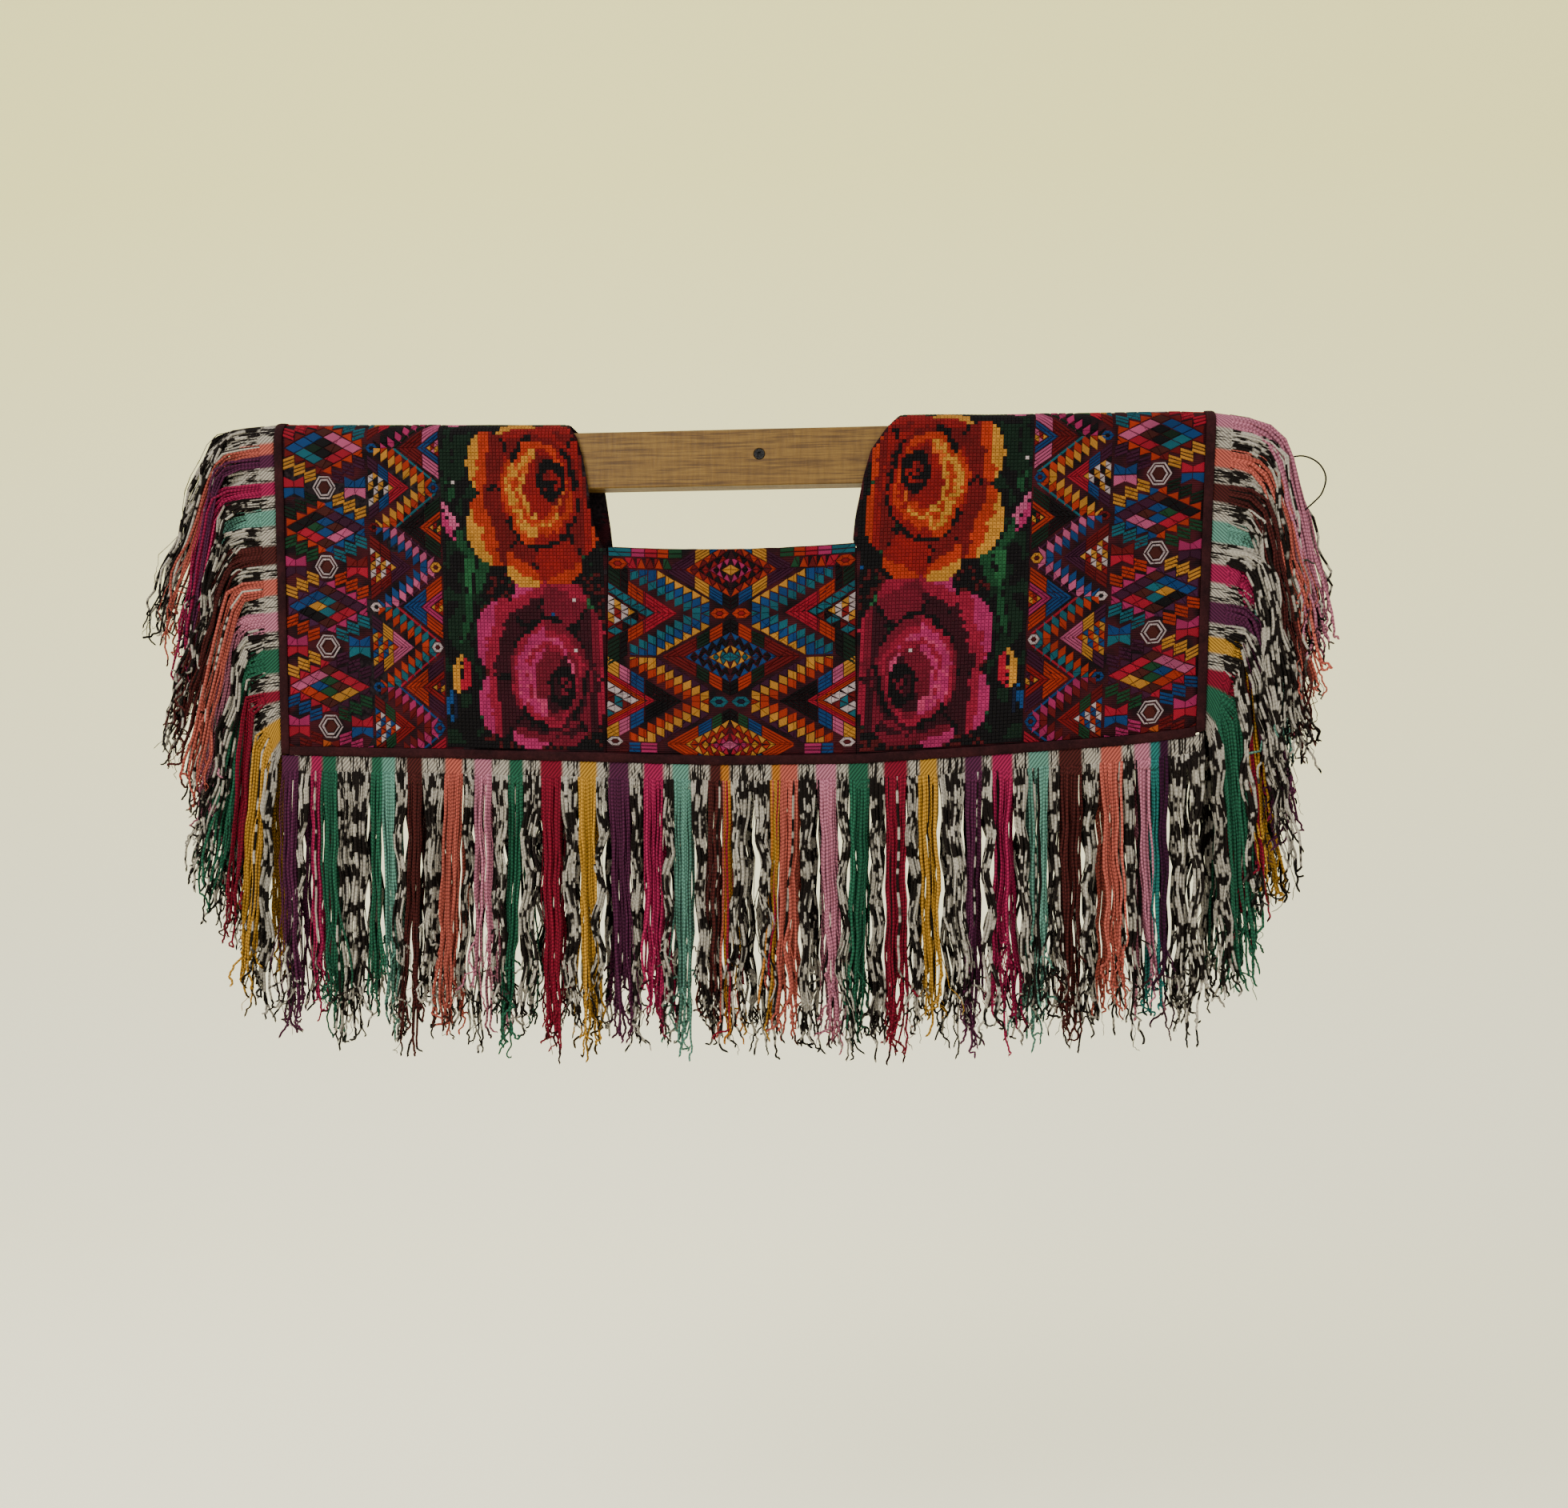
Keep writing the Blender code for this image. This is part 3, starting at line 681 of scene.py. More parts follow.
def outer_column(chart, number, eye):
    """One repeat of the outer column: a diamond, and an eye below it with bars and ties."""
    sides = OUTER_DYES[number % len(OUTER_DYES)]
    bars = EYE_DYES[number % len(EYE_DYES)]
    middle = eye - PERIOD / 2
    wide, tall = DIAMOND_HALF[0] / 4, DIAMOND_HALF[1] / 4
    for i in range(4):
        for j in range(4):
            centre = (DIAMOND_MIDDLE + (i + j - 3) * wide, middle + (i - j) * tall)
            corners = [
                (centre[0] - wide + 0.4, centre[1]), (centre[0], centre[1] - tall + 0.25),
                (centre[0] + wide - 0.4, centre[1]), (centre[0], centre[1] + tall - 0.25),
            ]
            rim = [dye for test, dye in zip((i == 0, j == 3, j == 0, i == 3), sides) if test]
            dye = rim[0] if rim else sides[4 + (i + j) % 3]
            if (i, j) in ((0, 3), (3, 0)):
                dye = "brown"
            chart.append((corners, dye, 0.5))
    for tooth in range(4):
        near = DIAMOND_HALF[0] * (tooth - 0.25) / 3.75
        far = DIAMOND_HALF[0] * (tooth + 0.75) / 3.75
        for way in (-1, 1):
            for flip in (-1, 1):
                arm = [DIAMOND_HALF[1] * (1 - out / DIAMOND_HALF[0]) + 0.5 for out in (near, far)]
                chart.append(([
                    (DIAMOND_MIDDLE + way * near, middle + flip * arm[0]),
                    (DIAMOND_MIDDLE + way * far, middle + flip * arm[1]),
                    (DIAMOND_MIDDLE + way * far, middle + flip * (arm[1] + TOOTH_HEIGHT)),
                ], sides[7] if way < 0 else sides[8], 1.2))
    wide, tall = YARN_BAR
    left, right = COLUMN_MARGIN, 2 * DIAMOND_MIDDLE - wide - COLUMN_MARGIN
    across, down = YARN_BAR_STEP
    slant = YARN_BAR_SLANT
    for place, step, slant, dye in (
        ((left, eye - BARS_REACH), (across, down), slant, bars[0]),
        ((right, eye - BARS_REACH - slant), (-across, down), -slant, bars[1]),
        ((left, eye + BARS_REACH - tall), (across, -down), -slant, bars[2]),
        ((right, eye + BARS_REACH - tall + slant), (-across, -down), slant, bars[3]),
    ):
        add_bars(chart, place, step, slant, dye)
    for left, upper, lower in ((COLUMN_MARGIN, bars[4], bars[5]), (RIGHT_TIE, bars[6], bars[7])):
        right = left + TIE_WIDTH
        for way, dye in ((-1, upper), (1, lower)):
            clear(chart, [(left, eye), (right, eye), (right, eye + way * 9), (left, eye + way * 9)])
            add_bow_tie(chart, left, eye + way * 9.4, TIE_WIDTH, -way * TIE_HEIGHT, dye)
    add_eye(chart, (DIAMOND_MIDDLE, eye), (20.0, 19.0), (
        (1.0, "white"), (0.79, "ground"), (0.73, "white"), (0.50, "brown"),
    ))


def inner_column(chart, number, eye):
    """One repeat of the inner column: a chevron that points to the neck at the eye's row,
    and one that points away from it in the valley below."""
    solid, ends, first, second, third, valley, valley_ends, heart = (
        CHEVRON_DYES[number % len(CHEVRON_DYES)]
    )
    part = []
    body = (92.5, 105.3)
    zigzag = Zigzag(part, eye, CHEVRON_LEAN)
    zigzag.rows(body, (88, 105.3), 4, solid, 0.4)
    zigzag.rows(body, (79.5, 87.7), 4, ends, 0.4)
    zigzag.rows(body, (OUTER_COLUMN, 79.2), 3, "garnet" if number % 2 else "plum", 0.4)
    edge = Zigzag(part, eye, BRICK_LEAN, BRICK_BLUNT)
    edge.bricks((107.2, 124.0), (76, 124.0), 8, (first, second), 0.75, 0.3)
    edge.rows((124.6, 128.2), (OUTER_COLUMN + 8, 128.2), 1, third)
    left, right = OUTER_COLUMN + COLUMN_MARGIN, GEOMETRIC_WIDTH - COLUMN_MARGIN
    trim(part, (left, eye - PERIOD / 2), (right, eye + PERIOD / 2))
    chart.extend(part)
    part = []
    middle = eye + PERIOD / 2
    zigzag = Zigzag(part, middle, -CHEVRON_LEAN)
    body = (96.5, 111.5)
    zigzag.rows(body, (96, 116.5), 4, valley)
    zigzag.rows(body, (116.8, GEOMETRIC_WIDTH), 4, valley_ends)
    zigzag.rows((112.2, 119.5), (112, GEOMETRIC_WIDTH), 2, heart)
    trim(part, (left, eye + 7), (right, eye + PERIOD - 7))
    chart.extend(part)
    clusters = CLUSTER_DYES[number % len(CLUSTER_DYES)]
    add_triangles(chart, (92.0, eye), 21.0, 5, clusters, 1.55)
    add_triangles(chart, (120.5, middle), -9.5, 3, ("amber", valley_ends, "scarlet"), 1.5)
    spark = ("blue", "amber", "white", "blue", "white")[number % 5]
    add_eye(chart, (GEOMETRIC_WIDTH - 5.0, eye), (9.6, 8.2), ((1.0, spark), (0.40, "maroon")))
    spark = ("garnet", "white", "blue", "navy", "blue")[number % 5]
    add_eye(chart, (OUTER_COLUMN + 4.2, middle), (10.4, 7.6), ((1.0, spark), (0.35, "black")))


def side_chart(turned):
    """The brocade of one leg of a side panel. Its dyes start turned repeats further on."""
    chart = []
    for number in range(-1, 5):
        outer_column(chart, number + turned, FIRST_EYE + number * PERIOD)
    trim(chart, (0.2, 0), (OUTER_COLUMN - 0.2, HALF_LENGTH / MM))
    for number in range(-1, 5):
        inner_column(chart, number + turned, FIRST_EYE + number * PERIOD)
    trim(chart, (0.2, 0), (GEOMETRIC_WIDTH, HALF_LENGTH / MM - 0.3))
    return chart


# The rose band of a side panel, in cross stitch: every cell is one stitch. Shapes are in
# the order in which they cover each other, nearest first, in mm from the panel's outer
# edge and from the top of the fold.

STITCH = 2.9
STITCH_START = (GEOMETRIC_WIDTH + 1, 0.6)
STITCH_INSET = 0.30
STITCH_RISE = 0.34
SEAM_MARGIN = 0.8 * MM
ROSES = (
    # middle, half size, flipped, then the dyes of rim, body, shade, dark and glow
    ((204.5, 73), (51, 66), 1, ("amber", "vermilion", "scarlet", "garnet", "orange")),
    ((208.0, 205), (50, 66), -1, ("magenta", "carmine", "berry", "wine", "rose")),
)
# Middle and half size of a rose's heart and of the bloom round it, in shares of the rose's.
HEART_PLACE = ((0.34, -0.27), (0.23, 0.25))
BLOOM_PLACE = ((0.14, -0.15), (0.64, 0.74))
BLOOM = (
    # up to which turn in degrees (0 inwards, 90 down), then the kinds of dye from its rim
    # to its heart, each down to a share of its size
    (40, ((0.94, "black"), (0.82, "shade"), (0.72, "body"), (0.60, "shade"), (0.52, "glow"), (0, "dark"))),
    (98, ((0.93, "black"), (0.79, "shade"), (0.64, "body"), (0.56, "rim"), (0.46, "body"), (0, "shade"))),
    (150, ((0.92, "black"), (0.80, "body"), (0.60, "rim"), (0.50, "body"), (0.40, "rim"), (0, "shade"))),
    (214, ((0.95, "shade"), (0.84, "body"), (0.62, "rim"), (0.52, "body"), (0.38, "rim"), (0, "shade"))),
    (262, ((0.93, "dark"), (0.82, "black"), (0.70, "body"), (0.54, "rim"), (0.44, "glow"), (0, "shade"))),
    (310, ((0.90, "shade"), (0.80, "dark"), (0.68, "body"), (0.58, "shade"), (0, "dark"))),
    (360, ((0.93, "dark"), (0.83, "black"), (0.72, "shade"), (0.60, "body"), (0.50, "shade"), (0, "dark"))),
)
PETALS = (
    # middle and half size in shares of the rose's, way to its rim in degrees, and the
    # kinds of dye of its rim, body and inside
    ((0.77, -0.42), (0.25, 0.40), -10, ("body", "dark", "shade")),
    ((0.82, 0.22), (0.25, 0.46), 5, ("body", "shade", "dark")),
    ((0.40, 0.72), (0.40, 0.31), 65, ("body", "shade", "shade")),
    ((-0.08, 0.74), (0.36, 0.33), 115, ("rim", "body", "dark")),
    ((-0.58, 0.30), (0.46, 0.50), 158, ("rim", "body", "dark")),
    ((-0.66, -0.48), (0.35, 0.42), 188, ("rim", "body", "dark")),
    ((-0.16, -0.77), (0.40, 0.26), -108, ("rim", "shade", "dark")),
    ((0.36, -0.74), (0.40, 0.26), -75, ("shade", "dark", "shade")),
)
LEAVES = (
    # middle, half length, half width, turn in degrees, dyes of its two sides
    ((152, 106), 16, 9, 60, ("green", "forest")), ((158, 128), 23, 10, 100, ("leaf", "green")),
    ((147, 166), 24, 7, 100, ("forest", "green")), ((140, 38), 25, 8, 92, ("forest", "forest")),
    ((135, 62), 13, 7, 80, ("forest", "green")), ((237, 117), 19, 7, -32, ("green", "forest")),
    ((241, 155), 12, 7, 24, ("green", "leaf")), ((233, 250), 14, 7, 32, ("green", "leaf")),
    ((170, 251), 12, 5, 10, ("forest", "green")), ((230, 7), 12, 6, 40, ("green", "forest")),
    ((166, 3), 14, 4, 0, ("forest", "brown")), ((251, 60), 11, 5, 80, ("forest", "green")),
    ((249, 195), 14, 6, 95, ("forest", "green")), ((172, 118), 9, 5, 80, ("teal", "green")),
    ((137, 90), 21, 6, 64, ("magenta", "pink")), ((144, 215), 17, 8, 95, ("amber", "crimson")),
    ((142, 4), 9, 5, 0, ("pink", "magenta")), ((136, 240), 13, 5, 90, ("blue", "navy")),
)


def spot_within(u, v, place, size):
    """Where a spot is from the middle of an ellipse, in shares of its half size."""
    return (u - place[0]) / size[0], (v - place[1]) / size[1]


def rose_dye(rose, across, down, chance):
    """The dye of a rose at a place, or None outside it."""
    middle, half, flip, dyes = rose
    kinds = {"black": "black", **dict(zip(("rim", "body", "shade", "dark", "glow"), dyes))}
    u, v = (across - middle[0]) / half[0], flip * (down - middle[1]) / half[1]
    wobble = 0.05 * noise.noise(Vector((across * 0.11, down * 0.11, 5)))
    heart = math.hypot(*spot_within(u, v, *HEART_PLACE)) + wobble * 3
    if heart < 1:
        if heart < 0.62 and chance.random() < 0.6:
            return kinds["shade" if u > 0.30 else "dark"]
        return "black"
    du, dv = spot_within(u, v, *BLOOM_PLACE)
    away = math.hypot(du, dv) + wobble
    if away < 1:
        turn = math.degrees(math.atan2(dv, du)) % 360
        bands = next(bands for limit, bands in BLOOM if turn <= limit)
        away += 0.07 * noise.noise(Vector((turn * 0.03, flip, 2))) + 0.03 * chance.uniform(-1, 1)
        kind = next(kind for share, kind in bands if max(away, 0.01) > share)
        if kind == "rim" and chance.random() < 0.22:
            kind = "glow"
        return kinds[kind]
    for place, size, way, (rim, body, inside) in PETALS:
        du, dv = spot_within(u, v, place, size)
        away = math.hypot(du, dv) + wobble
        if away < 1:
            angle = math.radians(way)
            out = du * math.cos(angle) + dv * math.sin(angle) + wobble * 3 + 0.05 * chance.uniform(-1, 1)
            if away > 0.84 and out < -0.05:
                return "black" if chance.random() < 0.6 else kinds["dark"]
            if out > 0.52:
                return kinds[rim]
            if out > 0.10:
                return kinds[body]
            return kinds[inside]
    return None


def leaf_dye(across, down, chance):
    """The dye of the leaves and buds round the roses, or of the ground between them."""
    for middle, length, width, turn, dyes in LEAVES:
        angle = math.radians(turn)
        du, dv = across - middle[0], down - middle[1]
        along = (du * math.cos(angle) + dv * math.sin(angle)) / length
        aside = (dv * math.cos(angle) - du * math.sin(angle)) / width
        if abs(along) < 1 and abs(aside) < (1 - along * along) ** 0.8:
            if abs(aside) < 0.16 and chance.random() < 0.6:
                return "black"
            return dyes[0] if aside > 0 else dyes[1]
    draw = chance.random()
    if across < 160 or draw < 0.06:
        return "forest" if noise.noise(Vector((across * 0.09, down * 0.07, 1))) > 0.12 else "black"
    return "maroon" if down > 130 and draw < 0.35 else "black"


def rose_band_dye(across, down, chance):
    if chance.random() < 0.0013:
        return chance.choice(("white", "white", "blue"))
    for rose in ROSES:
        dye = rose_dye(rose, across, down, chance)
        if dye:
            return dye
    return leaf_dye(across, down, chance)


# Cloth of the panels: a woven ground with the raised yarns on it. Both lie within the
# solid wall's thickness.
GROUND_TOP = CLOTH - 0.9 * MM
BROCADE_BASE = CLOTH - 0.95 * MM
# In mm: how uneven the corners of a patch are, how far it is set in and raised, and the
# smallest area and least thickness of a patch that is laid at all.
UNEVEN = 0.45
PATCH_INSET = 0.42
PATCH_RISE = 0.62
SMALLEST_PATCH = 1.2
THINNEST_PATCH = 0.5
# How many mm make one unit of the stitch map, and how much one yarn differs from the next.
STITCH_UNIT = 10
DYE_SPREAD = 0.16


def paint(mesh, colours):
    """Stores a colour for every face."""
    counts = np.empty(len(mesh.polygons), dtype=np.int32)
    mesh.polygons.foreach_get("loop_total", counts)
    layer = mesh.attributes.new("yarn", "FLOAT_COLOR", "CORNER")
    layer.data.foreach_set("color", np.repeat(np.array(colours, dtype=np.float32), counts, axis=0).ravel())


def face_colours(bm, chance):
    """A linear colour for every face, a little different from one yarn to the next."""
    shades = {}
    colours = []
    dye, group = [bm.faces.layers.int[name] for name in ("dye", "group")]
    for face in bm.faces:
        if face[group] not in shades:
            shades[face[group]] = 1 + DYE_SPREAD * chance.uniform(-1, 1)
        shade = shades[face[group]]
        red, green, blue = linear(DYES[DYE_NAMES[face[dye]]])
        colours.append((red * shade, green * shade, blue * shade, 1))
    return colours


def wrap(bm, place, facing):
    """Moves flat patches, in mm with their height as z, to where the cloth hangs, and
    turns their faces round where facing is below 0."""
    stitch = bm.loops.layers.uv.new("stitch")
    turn = bm.faces.layers.float["turn"]
    for face in bm.faces:
        cos, sin = math.cos(face[turn]), math.sin(face[turn])
        for loop in face.loops:
            across, down, up = loop.vert.co
            loop[stitch].uv = (
                (across * cos + down * sin) / STITCH_UNIT,
                (down * cos - across * sin + 0.6 * up) / STITCH_UNIT,
            )
    for vert in bm.verts:
        vert.co = place(vert.co)
    if facing < 0:
        bmesh.ops.reverse_faces(bm, faces=bm.faces[:])


def slice_rows(bm, downs, acrosses):
    """Cuts the patches at these places, so that they can bend with the cloth."""
    for normal, places in (((0, 1, 0), downs), ((1, 0, 0), acrosses)):
        for at in places:
            bmesh.ops.bisect_plane(
                bm,
                geom=bm.verts[:] + bm.edges[:] + bm.faces[:],
                plane_co=[at * n for n in normal],
                plane_no=normal,
            )


def by_hand(corner):
    """Moves a corner a little, as no hand-laid row is straight."""
    spot = Vector((corner[0] * 0.3, corner[1] * 0.3, 7))
    return corner[0] + UNEVEN * noise.noise(spot), corner[1] + UNEVEN * noise.noise(spot * 1.3)


def flat_patches(chart):
    """The chart's patches as flat faces, each raised inside its own outline. Those too
    small or too thin for a yarn are left out."""
    bm = bmesh.new()
    dye_layer = bm.faces.layers.int.new("dye")
    group_layer = bm.faces.layers.int.new("group")
    turn_layer = bm.faces.layers.float.new("turn")
    for number, (corners, dye, turn) in enumerate(chart):
        loop = list(zip(corners, corners[1:] + corners[:1]))
        area = sum(p[0] * q[1] - q[0] * p[1] for p, q in loop) / 2
        around = sum(math.dist(p, q) for p, q in loop)
        if abs(area) < SMALLEST_PATCH or 2 * abs(area) / around < THINNEST_PATCH:
            continue
        ordered = corners if area > 0 else corners[::-1]
        face = bm.faces.new([bm.verts.new((*by_hand(corner), 0)) for corner in ordered])
        face[dye_layer] = DYE_NAMES.index(dye)
        face[group_layer] = number
        face[turn_layer] = turn
    bm.normal_update()
    bmesh.ops.inset_individual(
        bm, faces=bm.faces[:], thickness=PATCH_INSET, depth=PATCH_RISE, use_even_offset=True
    )
    return bm


def finish_patches(name, bm, material, seed):
    colours = face_colours(bm, random.Random(seed))
    mesh = mesh_from(name, bm, material)
    paint(mesh, colours)
    for layer in ("dye", "group", "turn"):
        mesh.attributes.remove(mesh.attributes[layer])
    return add_object(name, mesh)


# Cuts across the cloth, close together round the fold, and cuts along it.
LEG_CUTS = [2.2 * step for step in range(1, 14)] + [40 + 16 * step for step in range(15)]
ZONE_CUTS = [12 * step for step in range(1, 11)]


def leg_place(side, way, base):
    """Where a flat (across, down, up) in mm lands on one leg of a side panel."""
    edges = {}

    def place(co):
        run = way * max(co.y, 0.001) * MM
        key = round(run, 5)
        if key not in edges:
            edges[key] = outer_edge(run) - BINDING
        return hang(side * (edges[key] - co.x * MM), run, base + co.z * MM)

    return place


def add_brocade(name, side, way, turned, seed):
    bm = flat_patches(side_chart(turned))
    slice_rows(bm, LEG_CUTS, ZONE_CUTS)
    wrap(bm, leg_place(side, way, BROCADE_BASE), -side * way)
    return finish_patches(name, bm, brocade_yarn, seed)


def add_roses(name, side, way, seed):
    """The cross-stitch band: a grid of cells without those past the seam or neck edge."""
    chance = random.Random(seed)
    place = leg_place(side, way, GROUND_TOP)
    columns = math.ceil((PANEL_WIDTH - GEOMETRIC_WIDTH) / STITCH)
    rows = math.ceil((HALF_LENGTH / MM - 3) / STITCH)
    bm = bmesh.new()
    bmesh.ops.create_grid(bm, x_segments=columns, y_segments=rows, size=0.5)
    bmesh.ops.scale(bm, vec=(columns * STITCH, rows * STITCH, 1), verts=bm.verts)
    bmesh.ops.translate(
        bm,
        vec=(STITCH_START[0] + columns * STITCH / 2, STITCH_START[1] + rows * STITCH / 2, 0),
        verts=bm.verts,
    )
    past = []
    for face in bm.faces:
        spot = face.calc_center_median()
        run = way * spot.y * MM
        inner = neck_edge(side, run) + SEAM_MARGIN
        if abs(place(spot).x) - STITCH / 2 * MM < inner or spot.y > HALF_LENGTH / MM - 1:
            past.append(face)
    bmesh.ops.delete(bm, geom=past, context="FACES")
    dye_layer = bm.faces.layers.int.new("dye")
    group_layer = bm.faces.layers.int.new("group")
    bm.faces.layers.float.new("turn")
    for number, face in enumerate(bm.faces):
        spot = face.calc_center_median()
        face[dye_layer] = DYE_NAMES.index(rose_band_dye(spot.x, spot.y, chance))
        face[group_layer] = number
    bmesh.ops.inset_individual(bm, faces=bm.faces[:], thickness=STITCH_INSET, depth=STITCH_RISE)
    wrap(bm, place, -side * way)
    return finish_patches(name, bm, cross_stitch, seed)


def flat_ground(across, runs, place):
    """The outer face of ground cloth, over a grid of (share across, run along)."""
    bm = bmesh.new()
    bmesh.ops.create_grid(bm, x_segments=across, y_segments=len(runs) - 1, size=0.5)
    for vert in bm.verts:
        row = round((vert.co.y + 0.5) * (len(runs) - 1))
        vert.co = place(vert.co.x + 0.5, runs[row])
    return bm


def close_ground(name, bm, reverse):
    """Gives the ground its thickness, inwards, with the dark inside as its own cloth."""
    if reverse:
        bmesh.ops.reverse_faces(bm, faces=bm.faces[:])
    outside = set(bm.faces)
    bmesh.ops.solidify(bm, geom=bm.faces[:], thickness=GROUND_CLOTH)
    for face in bm.faces:
        face.material_index = 0 if face in outside else 1
        face.smooth = True
    return add_object(name, mesh_from(name, bm, ground_cloth, ground_inside))


CLOTH_SHINE = 0.08
GROUND_CLOTH = 1.3 * MM
# The flat panel. The neck edge takes 0.005 m2 out of it.
PANEL_WIDTH = 269.5
# Rows of the ground along one leg, closer together at the fold.
LEG_RUNS = [0.35 * t + 0.65 * t**3 for t in np.linspace(0, 1, 56)]
PANEL_RUNS = [-HALF_LENGTH * t for t in LEG_RUNS[:0:-1]] + [HALF_LENGTH * t for t in LEG_RUNS]

ground_cloth = new_material("ground_cloth", 0.9, CLOTH_SHINE)
picks = add_node(ground_cloth, "ShaderNodeTexWave", Vector=place_output(ground_cloth), Scale=190.0)
picks.bands_direction = "Z"
picks.inputs["Distortion"].default_value = 1.2
picks.inputs["Detail"].default_value = 1.0
tufts = noise_output(ground_cloth, place_output(ground_cloth), 52, 2)
ground_colour = ramp_node(ground_cloth, tufts, (
    (0.36, (0.0045, 0.0022, 0.0034)),
    (0.50, (0.0180, 0.0030, 0.0052)),
    (0.66, (0.0360, 0.0042, 0.0070)),
))
# Painted shade in the furrows between the picks.
pick_shade = ramp_node(ground_cloth, picks.outputs[1], ((0.10, (0.50, 0.46, 0.48)), (0.60, (1, 1, 1))))
finish_surface(
    ground_cloth, mix_colours(ground_cloth, 0.9, ground_colour, pick_shade, "MULTIPLY"),
    picks.outputs[1], 0.0005, 0.8,
)

ground_inside = new_material("ground_inside", 0.95, 0.03)
inside_tufts = noise_output(ground_inside, place_output(ground_inside), 340, 3)
finish_surface(ground_inside, ramp_node(ground_inside, inside_tufts, (
    (0.35, (0.004, 0.003, 0.004)),
    (0.72, (0.016, 0.011, 0.013)),
)), inside_tufts, 0.0008, 0.8)


def yarn_material(name, roughness, long_stitches):
    """Raised yarn: its dye, strands along the stitch, loose fibres and a soft sheen."""
    material = new_material(name, roughness, CLOTH_SHINE)
    dye = add_node(material, "ShaderNodeAttribute")
    dye.attribute_name = "yarn"
    stitch = add_node(material, "ShaderNodeUVMap")
    stitch.uv_map = "stitch"
    scaled = add_node(material, "ShaderNodeMapping", Vector=stitch.outputs[0])
    scaled.inputs["Scale"].default_value = (STITCH_UNIT, STITCH_UNIT, 1)
    split = add_node(material, "ShaderNodeSeparateXYZ", Vector=scaled.outputs[0])
    x, y = split.outputs[0], split.outputs[1]
    if long_stitches:
        # Strands cross the row slantwise, as the yarn goes round groups of warps.
        slanted = math_node(material, "ADD", x, math_node(material, "MULTIPLY", y, 0.55))
        strands = math_node(material, "SINE", math_node(material, "MULTIPLY", slanted, math.tau / 0.95))
        strands = math_node(material, "MULTIPLY_ADD", strands, 0.5, 0.5)
    else:
        # Two strands that cross on each stitch.
        cell = []
        for part, start in zip((x, y), STITCH_START):
            stitches = math_node(material, "DIVIDE", math_node(material, "SUBTRACT", part, start), STITCH)
            cell.append(math_node(material, "FRACT", stitches))
        rising = math_node(material, "ABSOLUTE", math_node(material, "SUBTRACT", *cell))
        falling = math_node(material, "ABSOLUTE", math_node(
            material, "SUBTRACT", math_node(material, "ADD", *cell), 1.0))
        strands = math_node(material, "SUBTRACT", 1.0, math_node(
            material, "MULTIPLY", math_node(material, "MINIMUM", rising, falling), 2.2))
    fibres = noise_output(material, place_output(material), 900, 2)
    wear = noise_output(material, place_output(material), 34, 3)
    # Painted shade in the grooves between strands, from the same pattern as the bump.
    shade = ramp_node(material, strands, ((0.0, (0.50, 0.46, 0.47)), (0.75, (1.0, 1.0, 1.0))))
    colour = mix_colours(material, 0.85, dye.outputs["Color"], shade, "MULTIPLY")
    fade = ramp_node(material, wear, ((0.35, (0.80, 0.80, 0.80)), (0.65, (1.06, 1.05, 1.04))))
    colour = mix_colours(material, 1.0, colour, fade, "MULTIPLY")
    height = math_node(material, "ADD", strands, math_node(material, "MULTIPLY", fibres, 0.5))
    finish_surface(material, colour, height, 0.0004, 0.8)
    return material


brocade_yarn = yarn_material("brocade_yarn", 0.72, True)
cross_stitch = yarn_material("cross_stitch", 0.70, False)

for side, side_name in ((-1, "left"), (1, "right")):
    def ground_place(share, run, side=side):
        outer = outer_edge(run) - BINDING * GROUND_SHORT
        inner = neck_edge(side, run) + LAID_UNDER
        return hang(side * (outer + share * (inner - outer)), run, GROUND_TOP)

    bm = flat_ground(36, PANEL_RUNS, ground_place)
    ground = close_ground(f"{side_name}_panel_ground", bm, side > 0)
    brocade = [
        add_brocade(f"{side_name}_{leg}_brocade", side, way, turned, seed)
        for leg, way, turned, seed in (("front", -1, 0, 11), ("back", 1, 2, 12))
    ]
    roses = [
        add_roses(f"{side_name}_{leg}_roses", side, way, seed)
        for leg, way, seed in (("front", -1, 21), ("back", 1, 22))
    ]
    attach(ground, "root")
    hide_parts(f"{side_name}_panel")
    for piece in brocade + roses:
        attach(piece, "root")


# ---------------------------------------------------------------------------------
# Front and back centre panels. They close the body below the neck opening. They are
# brocaded from edge to edge with stepped zigzags round three diamonds, both halves alike.

CENTRE_DOWN = 168
CENTRE_HALF = 98.5
NECK_SAG = 3.5 * MM
DOWN_CUTS = [12 * step for step in range(1, 14)]
ACROSS_CUTS = [12 * step for step in range(-8, 9)]
CROSSES = (52.7, 124.4)
ARM_START = 16.5
ARM_COLUMN = 7.12
ARM_COLUMNS = 9
ARM_EDGE = 1.6
ARM_SLOPE = 0.57
ARM_REACH = 34.9
TOOTH, NEAR_BRICK, FAR_BRICK = 4.8, 7.0, 7.2
STAIR_TILT = 1.3


